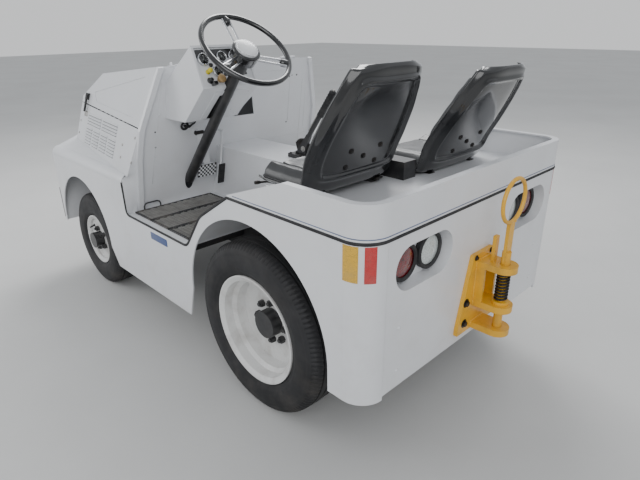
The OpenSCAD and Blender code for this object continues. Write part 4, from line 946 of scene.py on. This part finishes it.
def make_louvre_shade():
    """Black strips under the lips of the hood's louvres: painted shade for their dark openings."""
    shade_strips = Build()
    for side in (1, -1):
        def p(x, z):
            return at(x, side * hood_side(x, z), z)
        for z0, rows, cols in ((0.828, 6, 4), (0.930, 4, 2)):
            a, b, c = p(2.242, z0), p(1.735, z0), p(1.735, z0 + 0.1)
            u = (b - a).normalized()
            v = ((c - b) - u * (c - b).dot(u)).normalized()
            n = u.cross(v)
            n = n if n.y * side > 0 else -n
            long = ((b - a).length + 0.022) / cols
            for row in range(rows):
                for col in range(cols):
                    centre = a + u * (col * long + (long - 0.022) / 2) + v * (row * 0.016 - 0.0022) + n * 0.0002
                    shade_strips.box(centre, (long - 0.024, 0.0044, 0.0012), Matrix((u, v, n)).transposed(), 0.0003)
    # These black strips are painted shade, standing where the louvres' openings fall dark.
    shade_strips.piece("louvre_painted_shade", "black_plastic", "chassis", False)


def make_firewall():
    """Seams, screws and small holes on the firewall, and the grommet where the cables pass."""
    def wall(y, z):
        return at(1.366 + (1.272 - z) * 0.264, y, z)
    out = Vector((-1, 0, -0.264)).normalized()
    bead = [(-0.0012, -0.0004), (-0.0012, 0.0005), (0, 0.0011), (0.0012, 0.0005), (0.0012, -0.0004)]
    seams = Build()
    for pts in (((-0.325, 1.225), (-0.356, 0.930)), ((-0.456, 1.130), (-0.486, 0.880)),
                ((-0.055, 1.219), (-0.262, 1.212)), ((-0.420, 1.205), (-0.470, 0.700)),
                ((0.440, 1.200), (0.486, 0.720)), ((-0.150, 0.845), (-0.520, 0.840))):
        a, b = (wall(y, z) for y, z in pts)
        seams.sweep([a + (b - a) * k / 6 for k in range(7)], bead, [out] * 7)
    seams.piece("firewall_seams", "white_paint", "chassis")
    dots = Build()
    for y, z, r in ((-0.325, 1.177, 0.0045), (-0.343, 1.182, 0.003), (-0.377, 1.182, 0.0045), (-0.347, 0.922, 0.0045),
                    (-0.300, 0.700, 0.004), (0.470, 0.980, 0.004), (0.468, 0.905, 0.004)):
        dots.lathe(wall(y, z) - out * 0.002, out, [(0, 0), (r, 0), (r, 0.0026), (r * 0.72, 0.0028), (r * 0.5, 0.0022),
                                                  (0, 0.0022)], 16)
    dots.piece("firewall_holes", "black_rubber", "chassis")
    rivets = Build()
    for y, z in ((-0.158, 1.247), (-0.201, 1.245), (-0.440, 1.248), (0.060, 1.247), (0.446, 1.060), (0.470, 0.860),
                 (-0.505, 0.860), (-0.470, 1.060)):
        rivets.bolt(wall(y, z) - Vector((0, 0, 0)), out, 0.0045, 0.0022, True)
    rivets.piece("firewall_rivets", "white_paint", "chassis")
    c = wall(0.316, 0.990)
    ring = Build().lathe(c - out * 0.001, out, [(0.0105, 0), (0.021, 0), (0.0225, 0.003), (0.0215, 0.007),
                                               (0.0175, 0.0085), (0.0125, 0.007), (0.0105, 0.003)], 28)
    ring.piece("cable_grommet", "black_rubber", "chassis")
    cable = Build()
    for k, (dy, dz) in enumerate(((0.004, 0.002), (-0.003, 0.003), (0.0, -0.004))):
        a = c + Vector((0, dy, dz))
        cable.tube([a - out * 0.006, a + out * 0.012, a + out * 0.020 + Vector((0, -0.010 - 0.003 * k, 0.002)),
                    a + out * 0.020 + Vector((0, -0.032, 0.006 + 0.003 * k)),
                    a + out * 0.010 + Vector((0, -0.052, 0.007 + 0.003 * k)),
                    a - out * 0.004 + Vector((0, -0.064, 0.006 + 0.003 * k))], 0.0030, 8)
    cable.piece("cable_stubs", "black_rubber", "chassis")
    handle = Build()
    pts = [(0.452, 0.000), (0.452, 0.016), (0.457, 0.026), (0.468, 0.031), (0.523, 0.031), (0.534, 0.026),
           (0.539, 0.016), (0.539, 0.000)]
    handle.tube([at(1.522, y, FLOOR_Z + 0.004 + z) for y, z in pts], 0.0035, 10)
    handle.piece("mat_handle", "black_paint", "chassis")


def make_mats():
    """Expanded-metal gratings over a thin black sheet, in three sections on each side."""
    x0, x1, y0, y1 = 1.032, 1.518, 0.160, 0.592
    first = None
    for side, tag in ((1, "left"), (-1, "right")):
        b, bars = Build(), Build()
        gap = 0.006
        w = (x1 - x0 - 2 * gap) / 3
        for k in range(3):
            a0 = x0 + k * (w + gap)
            a1 = a0 + w
            b.box(at((a0 + a1) / 2, side * (y0 + y1) / 2, FLOOR_Z + 0.0016), (w, y1 - y0, 0.0024), soft=0.0006)
            for y in (y0 + 0.004, y1 - 0.004):
                b.box(at((a0 + a1) / 2, side * y, FLOOR_Z + 0.0045), (w, 0.008, 0.007), soft=0.001)
            for x in (a0 + 0.004, a1 - 0.004):
                b.box(at(x, side * (y0 + y1) / 2, FLOOR_Z + 0.0045), (0.008, y1 - y0, 0.007), soft=0.001)
            for slope in (0.46, -0.46):
                pitch = 0.0170
                c = min(0, -slope * (y1 - y0))
                while c < w + max(0, -slope * (y1 - y0)) + 0.001:
                    ends = []
                    for y in (0.0, y1 - y0):
                        ends.append((c + slope * y, y))
                    (xa, ya), (xb, yb) = ends
                    t0, t1 = 0.0, 1.0
                    if abs(xb - xa) > 1e-9:
                        for lim in (0.0, w):
                            t = (lim - xa) / (xb - xa)
                            if (xb > xa) == (lim == 0.0):
                                t0 = max(t0, t)
                            else:
                                t1 = min(t1, t)
                    if t1 - t0 > 0.02:
                        p = at(a0 + xa + (xb - xa) * t0, side * (y0 + ya + (yb - ya) * t0), FLOOR_Z + 0.0035)
                        q = at(a0 + xa + (xb - xa) * t1, side * (y0 + ya + (yb - ya) * t1), FLOOR_Z + 0.0035)
                        bars.sweep([p, q], [(-0.0016, -0.002), (-0.0011, 0.003), (0.0011, 0.003), (0.0016, -0.002)],
                                   [Vector((0, 0, 1))] * 2)
                    c += pitch
        mat = b.piece("mat_frame_" + tag, "mat_rubber", "chassis", False)
        bars.piece("grating_" + tag, "bare_steel", "chassis", False)
        first = first or mat
    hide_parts("floor_mat")


# ---------------------------------------------------------------- dash, wheel and pedals

FACE_A = Vector((1.085, 0, 1.206))
FACE_UP = Vector((0.4166, 0, 0.9091))
FACE_OUT = Vector((-0.9091, 0, 0.4166))


def on_face(y, up, out=0.0):
    p = FACE_A + FACE_UP * up + FACE_OUT * out
    return at(p.x, y, p.z)


def make_gauges():
    bezels, dials, glass, marks = Build(), Build(), Build(), Build()
    side = Vector((0, -1, 0))
    for y, up, r in ((0.375, 0.110, 0.026), (0.322, 0.056, 0.025), (0.284, 0.116, 0.024), (0.226, 0.116, 0.022),
                     (0.190, 0.072, 0.018)):
        c = on_face(y, up, 0.0003)
        bezels.lathe(c, FACE_OUT, [(r * 0.80, 0.0004), (r * 1.02, 0), (r * 1.03, 0.004), (r, 0.0095), (r * 0.93, 0.012),
                                   (r * 0.86, 0.0115), (r * 0.82, 0.008), (r * 0.80, 0.0055)], 40)
        dials.lathe(c, FACE_OUT, [(0, 0.0003), (r * 0.83, 0.0003), (r * 0.83, 0.0052), (0, 0.0056)], 40)
        glass.lathe(c, FACE_OUT, [(r * 0.83, 0.0088), (r * 0.83, 0.0094), (r * 0.4, 0.0108), (0, 0.0112), (0, 0.0104),
                                  (r * 0.4, 0.0100)], 40)
        for k in range(11):
            a = math.radians(-40 + k * 26)
            d = side * math.cos(a) + FACE_UP * math.sin(a)
            w = d.cross(FACE_OUT)
            turn = Matrix((d, w, FACE_OUT)).transposed()
            long = 0.16 if k % 5 == 0 else 0.10
            marks.box(c + d * (r * (0.74 - long / 2)) + FACE_OUT * 0.0056, (r * long, r * 0.030, 0.0005), turn)
        a = math.radians(100 + 40 * math.sin(31 * y))
        d = side * math.cos(a) + FACE_UP * math.sin(a)
        turn = Matrix((d, d.cross(FACE_OUT), FACE_OUT)).transposed()
        marks.box(c + d * (r * 0.28) + FACE_OUT * 0.0064, (r * 0.72, r * 0.045, 0.0006), turn)
        marks.lathe(c + FACE_OUT * 0.0054, FACE_OUT, [(0, 0), (r * 0.10, 0), (r * 0.09, 0.0016), (0, 0.0018)], 16)
    ring = bezels.piece("gauge_bezels", "chrome", "chassis")
    dials.piece("gauge_dials", "black_plastic", "chassis")
    pale = Shader("dial_marks", (0.72, 0.72, 0.66), 0.5).vary(0.04, 200).bump(500, 0.05, 0.0002)
    marks.piece("gauge_marks", None, "chassis", False, pale.done())
    clear = Shader("gauge_glass", (0.9, 0.92, 0.92), 0.04)
    clear.p.inputs["Transmission Weight"].default_value = 1.0
    clear.p.inputs["IOR"].default_value = 1.35
    clear.vary(0.02, 90).bump(90, 0.03, 0.0002)
    glass.piece("gauge_glass", None, "chassis", mat=clear.done())
    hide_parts("gauges")
    # Black upper panel behind the gauges, and the knobs and switches
    panel = Build()
    rounded_plate(panel, on_face(0.277, 0.132), side, FACE_UP, FACE_OUT, 0.250, 0.040, 0.004, 0.0012)
    rounded_plate(panel, on_face(0.235, 0.060), side, FACE_UP, FACE_OUT, 0.120, 0.050, 0.004, 0.0010)
    panel.piece("gauge_panel", "black_plastic", "chassis", False)
    knobs = Build()
    for y, up, r, h in ((0.373, 0.021, 0.0085, 0.020), (0.228, 0.030, 0.008, 0.022), (0.346, 0.085, 0.006, 0.012)):
        knobs.lathe(on_face(y, up, 0.0003), FACE_OUT, [(0, 0), (r * 1.5, 0), (r * 1.5, 0.003), (r * 0.7, 0.004),
                                                       (r * 0.6, h * 0.5), (r, h * 0.55), (r, h * 0.95), (r * 0.8, h),
                                                       (0, h)], 20)
    # Toggle switch with its key
    knobs.box(on_face(0.362, 0.004, 0.012), (0.016, 0.020, 0.026),
              Matrix((FACE_UP, side, FACE_OUT)).transposed(), 0.002)
    knobs.piece("dash_knobs", "black_plastic", "chassis")
    amber = Shader("yellow_cap", (0.75, 0.62, 0.02), 0.35, coat=0.4).vary(0.1, 70).bump(300, 0.08, 0.0003)
    Build().lathe(on_face(0.370, 0.057, 0.0003), FACE_OUT, [(0, 0), (0.010, 0), (0.010, 0.004), (0.0045, 0.006),
                  (0.0045, 0.014), (0.0095, 0.016), (0.0105, 0.022), (0.0095, 0.027), (0.006, 0.030), (0, 0.0305)], 24) \
        .piece("yellow_knob", None, "chassis", mat=amber.done())
    tan = Shader("tan_knob", (0.42, 0.27, 0.11), 0.42, coat=0.2).vary(0.12, 60).grime((0.2, 0.12, 0.06), 0.4, 50)
    Build().lathe(on_face(0.324, 0.021, 0.0003), FACE_OUT, [(0, 0), (0.012, 0), (0.012, 0.003), (0.006, 0.004),
                  (0.006, 0.012), (0.0165, 0.015), (0.0185, 0.018), (0.0185, 0.0215), (0.0165, 0.024), (0.004, 0.0246),
                  (0, 0.0240)], 32).piece("tan_knob", None, "chassis", mat=tan.bump(250, 0.1, 0.0003).done())
    # White plate under the dash, slotted for the column
    a, d = Vector((1.252, 0, 1.040)), Vector((-0.7445, 0, 0.6677))
    out = Vector((-0.6677, 0, -0.7445))
    turn = Matrix((d, Vector((0, 1, 0)), d.cross(Vector((0, 1, 0))))).transposed()
    plate = Build()

    def on_low(u, y, o=0.0):
        p = a + d * u + out * o
        return at(p.x, y, p.z)

    for y0, y1, u0, u1 in ((0.150, 0.240, 0.008, 0.205), (0.314, 0.345, 0.008, 0.205), (0.240, 0.314, 0.178, 0.205)):
        plate.box(on_low((u0 + u1) / 2, (y0 + y1) / 2, 0.0006), (u1 - u0, y1 - y0, 0.0024), turn, 0.0008)
    for y, u in ((0.165, 0.025), (0.165, 0.190), (0.330, 0.025), (0.330, 0.190), (0.225, 0.120), (0.200, 0.060),
                 (0.225, 0.030)):
        plate.bolt(on_low(u, y, 0.0014), out, 0.0042, 0.0024, True)
    plate.piece("dash_plate", "white_paint", "chassis", False)
    # A thin black sheet fills the column's slot in the plate: painted shade for the dark opening.
    slot = Build().box(on_low(0.093, 0.277, 0.0002), (0.166, 0.072, 0.0016), turn, 0.0004)
    slot.piece("dash_slot_painted_shade", "black_plastic", "chassis", False)


def make_wheel():
    c = at(0.956, 0.277, 1.348)
    deg = math.radians(49)
    down = Vector((math.cos(deg), 0, -math.sin(deg)))
    cap = Shader("hub_cap", (0.76, 0.77, 0.78), 0.3, coat=0.5, coat_rough=0.1)
    cap.vary(0.03, 20).grime((0.5, 0.48, 0.44), 0.3, 30)
    Build().lathe(c, down, [(0, -0.0145), (0.020, -0.0140), (0.036, -0.0115), (0.045, -0.0075), (0.0475, -0.003),
                            (0.0475, 0.004), (0.044, 0.006), (0, 0.006)], 48) \
        .piece("horn_cap", None, "steering_wheel", mat=cap.bump(200, 0.06, 0.0003).done())
    e2 = Vector((0, 1, 0))
    e1 = e2.cross(down).normalized()
    ends, ribs = Build(), Build()
    ribs.lathe(c, down, [(0.046, 0.0015), (0.0560, 0.0015), (0.0588, 0.004), (0.0588, 0.010), (0.0570, 0.013),
                         (0.0575, 0.030), (0.0560, 0.032), (0.0545, 0.050), (0.040, 0.0535), (0.018, 0.056),
                         (0.018, 0.030)], 48)
    # OpenSCAD's wheel frame: x points down the wheel, y across
    x_dir = Vector((-math.sin(deg), 0, -math.cos(deg)))
    for a in (60, 180, 300):
        q = x_dir * math.cos(math.radians(a)) + e2 * math.sin(math.radians(a))
        p0 = c + q * 0.150 + down * 0.0085
        ends.lathe(p0, q - down * 0.14, [(0, -0.004), (0.0115, -0.003), (0.0155, 0.004), (0.0165, 0.016), (0.014, 0.030),
                                         (0.010, 0.038), (0, 0.040)], 24)
    ends.piece("spoke_ends", "black_plastic", "steering_wheel")
    ribs.piece("wheel_hub", "black_plastic", "steering_wheel")
    grips = Build()
    for k in range(48):
        a = math.radians(7.5 * k)
        q = e1 * math.cos(a) + e2 * math.sin(a)
        p = c + q * 0.186 + down * 0.0098
        tangent = -e1 * math.sin(a) + e2 * math.cos(a)
        grips.lathe(p - tangent * 0.008, tangent, [(0, 0), (0.0022, 0.0012), (0.0030, 0.008), (0.0022, 0.0148),
                                                   (0, 0.016)], 10)
    grips.piece("rim_grips", "black_plastic", "steering_wheel")


def on_cowl(x, y, z):
    a = math.atan(0.264)
    return at(1.54552 + x * math.cos(a) - z * math.sin(a), y, FLOOR_Z + x * math.sin(a) + z * math.cos(a))


def make_pedals():
    a = math.atan(0.264)
    back, up = Vector((-math.cos(a), 0, -math.sin(a))), Vector((-math.sin(a), 0, math.cos(a)))
    turn = Matrix((back, Vector((0, 1, 0)), up)).transposed()
    pad, steel = Build(), Build()
    pad.box(on_cowl(-0.0645, 0.2155, 0.1824), (0.004, 0.108, 0.066), turn, 0.0015)
    pad.piece("brake_pad", "black_rubber", "chassis", False)
    for i in range(6):
        for j in range(10):
            if (i + j) % 2 == 0:
                steel.box(on_cowl(-0.0672, 0.1683 + j * 0.0105, 0.1554 + i * 0.0108), (0.003, 0.0094, 0.0096), turn,
                          0.0008)
    steel.piece("brake_cleats", "white_paint", "chassis", False)
    rubber = Build()
    rubber.box(on_cowl(-0.0862, 0.141, 0.1572), (0.0055, 0.038, 0.110), turn, 0.002)
    for i in range(9):
        rubber.box(on_cowl(-0.0895, 0.141, 0.1120 + i * 0.0113), (0.003, 0.030, 0.0050), turn, 0.001)
    rubber.piece("gas_pad", "black_rubber", "chassis", False)
    pivots = Build()
    pivots.lathe(on_cowl(-0.0455, 0.238, 0.3870), Vector((0, 1, 0)), [(0, 0), (0.009, 0), (0.009, 0.042), (0, 0.042)], 18)
    pivots.bolt(on_cowl(-0.0455, 0.2805, 0.3870), (0, 1, 0), 0.008, 0.006)
    pivots.bolt(on_cowl(-0.0520, 0.2420, 0.3200), back, 0.006, 0.004)
    pivots.piece("pedal_pivots", "dark_steel", "chassis", False)


def make_lever():
    """Parking brake: ribbed grip with its release knob, pull rod and toothed quadrant."""
    low = at(0.895, 0, 0.971)
    v = Vector((-0.153, 0, 0.205))
    n = v.normalized()
    grip = [(0, 0.118), (0.0145, 0.119), (0.0155, 0.123)]
    for k in range(8):
        z = 0.128 + k * 0.0150
        grip += [(0.0155, z), (0.0140, z + 0.004), (0.0140, z + 0.008), (0.0155, z + 0.012)]
    grip += [(0.0150, 0.250), (0.0125, 0.2555), (0.0060, 0.2570), (0, 0.2572)]
    Build().lathe(low, n, grip, 28).piece("lever_grip", "black_rubber", "chassis")
    rod = Build().tube([low + n * 0.02 + Vector((0.014, 0, 0.006)), low + n * 0.118 + Vector((0.013, 0, 0.006))],
                       0.0032, 10)
    rod.lathe(low + n * 0.2565, n, [(0, 0), (0.0055, 0), (0.0060, 0.006), (0.0042, 0.009), (0, 0.0095)], 18)
    rod.bolt(at(0.930, 0.0085, 0.905), (0, 1, 0), 0.009, 0.007)
    rod.piece("lever_rod", "bare_steel", "chassis", False)
    pts = []
    for k in range(27):
        a = math.radians(35 + k * 4.4)
        r = 0.066 if k % 2 else 0.061
        pts.append((0.948 + r * math.cos(a), 0.884 + r * math.sin(a)))
    pts += [(0.905, 0.877), (0.985, 0.877)]
    verts = [at(x, y, z) for y in (-0.0125, -0.0085) for x, z in pts]
    m = len(pts)
    faces = [tuple(range(m)), tuple(range(2 * m - 1, m - 1, -1))] + [(i, (i + 1) % m, m + (i + 1) % m, m + i)
                                                                      for i in range(m)]
    piece("lever_quadrant", verts, faces, "dark_steel", "chassis", False)
    base = Build()
    for dx, dy in ((0.012, 0.020), (0.078, 0.020), (0.012, -0.020), (0.078, -0.020)):
        base.bolt(at(0.925 + dx, dy, 0.876), (0, 0, 1), 0.006, 0.005)
    base.piece("lever_bolts", "dark_steel", "chassis", False)


# ---------------------------------------------------------------- hitch, lamps and front


def weld(build, pts, r, seed):
    """A rippled weld bead along a line."""
    rng = np.random.default_rng(seed)
    a = [Vector(q) for q in pts]
    path = []
    for p, q in zip(a, a[1:]):
        n = max(2, int((q - p).length / 0.0035))
        path += [p + (q - p) * k / n for k in range(n)]
    path.append(a[-1])
    path = [p + Vector(rng.normal(0, 0.0004, 3)) for p in path]
    n, m, verts, faces = len(path), 8, [], []
    for i, p in enumerate(path):
        t = (path[min(i + 1, n - 1)] - path[max(i - 1, 0)]).normalized()
        u = t.orthogonal().normalized()
        w = t.cross(u)
        q = r * (1 + 0.20 * math.sin(i * 2.1) + rng.normal(0, 0.05)) * (0.45 if i in (0, n - 1) else 1)
        verts += [p + (u * math.cos(2 * math.pi * k / m) + w * math.sin(2 * math.pi * k / m)) * q for k in range(m)]
    for i in range(n - 1):
        for k in range(m):
            j = (k + 1) % m
            faces.append((i * m + k, (i + 1) * m + k, (i + 1) * m + j, i * m + j))
    faces += [tuple(range(m - 1, -1, -1)), tuple((n - 1) * m + k for k in range(m))]
    return build.add(verts, faces)


def make_hitch():
    beads = Build()
    for k, z in enumerate((0.380, 0.405, 0.475, 0.500, 0.630, 0.655)):
        weld(beads, [at(-0.0165, -0.045, z), at(-0.0165, 0.045, z)], 0.0042, k)
    for k, y in enumerate((-0.0455, 0.0455)):
        weld(beads, [at(-0.0165, y, 0.503), at(-0.0165, y, 0.628)], 0.0042, 10 + k)
        for m, z in enumerate((0.3925, 0.4875, 0.6425)):
            weld(beads, [at(-0.0165, y, z - 0.011), at(-0.0165, y, z + 0.011)], 0.0036, 20 + 3 * k + m)
    beads.piece("hitch_welds", "yellow_paint", "chassis")
    bolts = Build()
    for y in (-0.090, 0.090):
        for z in (0.415, 0.500):
            bolts.bolt(at(-0.016, y, z), (-1, 0, 0), 0.012, 0.010)
    for y in (-0.045, 0.045):
        bolts.bolt(at(-0.016, y * 1.15, 0.668), (-1, 0, 0), 0.0075, 0.007)
    bolts.piece("hitch_bolts", "dark_steel", "chassis", False)
    pin = Build()
    weld(pin, [at(-0.106, -0.018, 0.676), at(-0.106, 0.018, 0.676)], 0.003, 41)
    weld(pin, [at(-0.094, -0.018, 0.676), at(-0.094, 0.018, 0.676)], 0.003, 42)
    for s in (-1, 1):
        weld(pin, [at(-0.107, s * 0.020, 0.812), at(-0.107, s * 0.008, 0.815)], 0.003, 43)
    pin.piece("pin_welds", "yellow_paint", "hitch_pin")
    # Coil spring round the pin
    z0, z1, turns, steps = 0.5180, 0.6252, 9, 32
    path, outs = [], []
    for i in range(int(turns * steps) + 1):
        a = 2 * math.pi * i / steps
        k = i / (turns * steps)
        path.append(at(-0.100 + 0.0205 * math.cos(a), 0.0205 * math.sin(a), z0 + (z1 - z0) * k))
        outs.append(Vector((math.cos(a), math.sin(a), 0)))
    ring = [(0.004 * math.cos(2 * math.pi * k / 12), 0.004 * math.sin(2 * math.pi * k / 12)) for k in range(12)]
    coil = Build().sweep(path, ring, outs).piece("pin_spring", "dark_steel", "chassis")
    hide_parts("hitch_spring")
    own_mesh(coil)


def make_lamps():
    rims, bulbs = Build(), Build()
    for side in (1, -1):
        for y in (0.275, 0.412):
            c = at(0.0395, side * y, 0.755)
            rims.lathe(c, (-1, 0, 0), [(0.0500, 0.0), (0.0640, 0.0), (0.0655, 0.003), (0.0640, 0.0075), (0.0590, 0.0100),
                                       (0.0540, 0.0092), (0.0515, 0.0060), (0.0500, 0.0040)], 48)
    rims.piece("lamp_rims", "black_rubber", "chassis")
    ribs = Build()
    for side in (1, -1):
        c = at(2.448, side * 0.330, 0.655)
        for r in (0.030, 0.050, 0.068):
            out = 0.0062 + 0.0140 * (1 - (r / 0.080) ** 2)
            ribs.lathe(c, (1, 0, 0), [(r - 0.0012, out - 0.002), (r - 0.0012, out), (r, out + 0.0010),
                                      (r + 0.0012, out - 0.0004), (r + 0.0012, out - 0.003)], 64)
        for a in (45, 165, 285):
            d = Vector((0, math.cos(math.radians(a)), math.sin(math.radians(a))))
            bulbs.bolt(c + Vector((0.004, 0, 0)) + d * 0.0965, (1, 0, 0), 0.0042, 0.003, True)
    ribs.piece("lens_rings", "clear_lens", "chassis")
    bulbs.piece("bezel_screws", "bare_steel", "chassis", False)
    gasket = Build()
    for side in (1, -1):
        gasket.lathe(at(2.4475, side * 0.330, 0.655), (1, 0, 0), [(0.1030, 0), (0.1095, 0), (0.1100, 0.0025),
                                                                 (0.1085, 0.0042), (0.1030, 0.0042)], 64)
    gasket.piece("bezel_gaskets", "black_rubber", "chassis")
    front = Build()
    for side in (1, -1):
        for y in (0.110, 0.560):
            for z in (0.560, 0.720):
                front.bolt(at(2.448, side * y, z), (1, 0, 0), 0.0085, 0.006)
    front.piece("front_bolts", "white_paint", "chassis", False)
    rear = Build()
    for side in (1, -1):
        for z in (0.560, 0.400):
            rear.bolt(at(0.0, side * 0.470, z), (-1, 0, 0), 0.007, 0.004, True)
    rear.piece("rear_screws", "white_paint", "chassis")


# ---------------------------------------------------------------- build

make_camera()
make_light()
make_floor()
dress_cad()
make_seats()
make_tyres()
make_trim()
make_marks()
make_hood_trim()
make_wings()
make_louvre_shade()
make_firewall()
make_mats()
make_gauges()
make_wheel()
make_pedals()
make_lever()
make_hitch()
make_lamps()
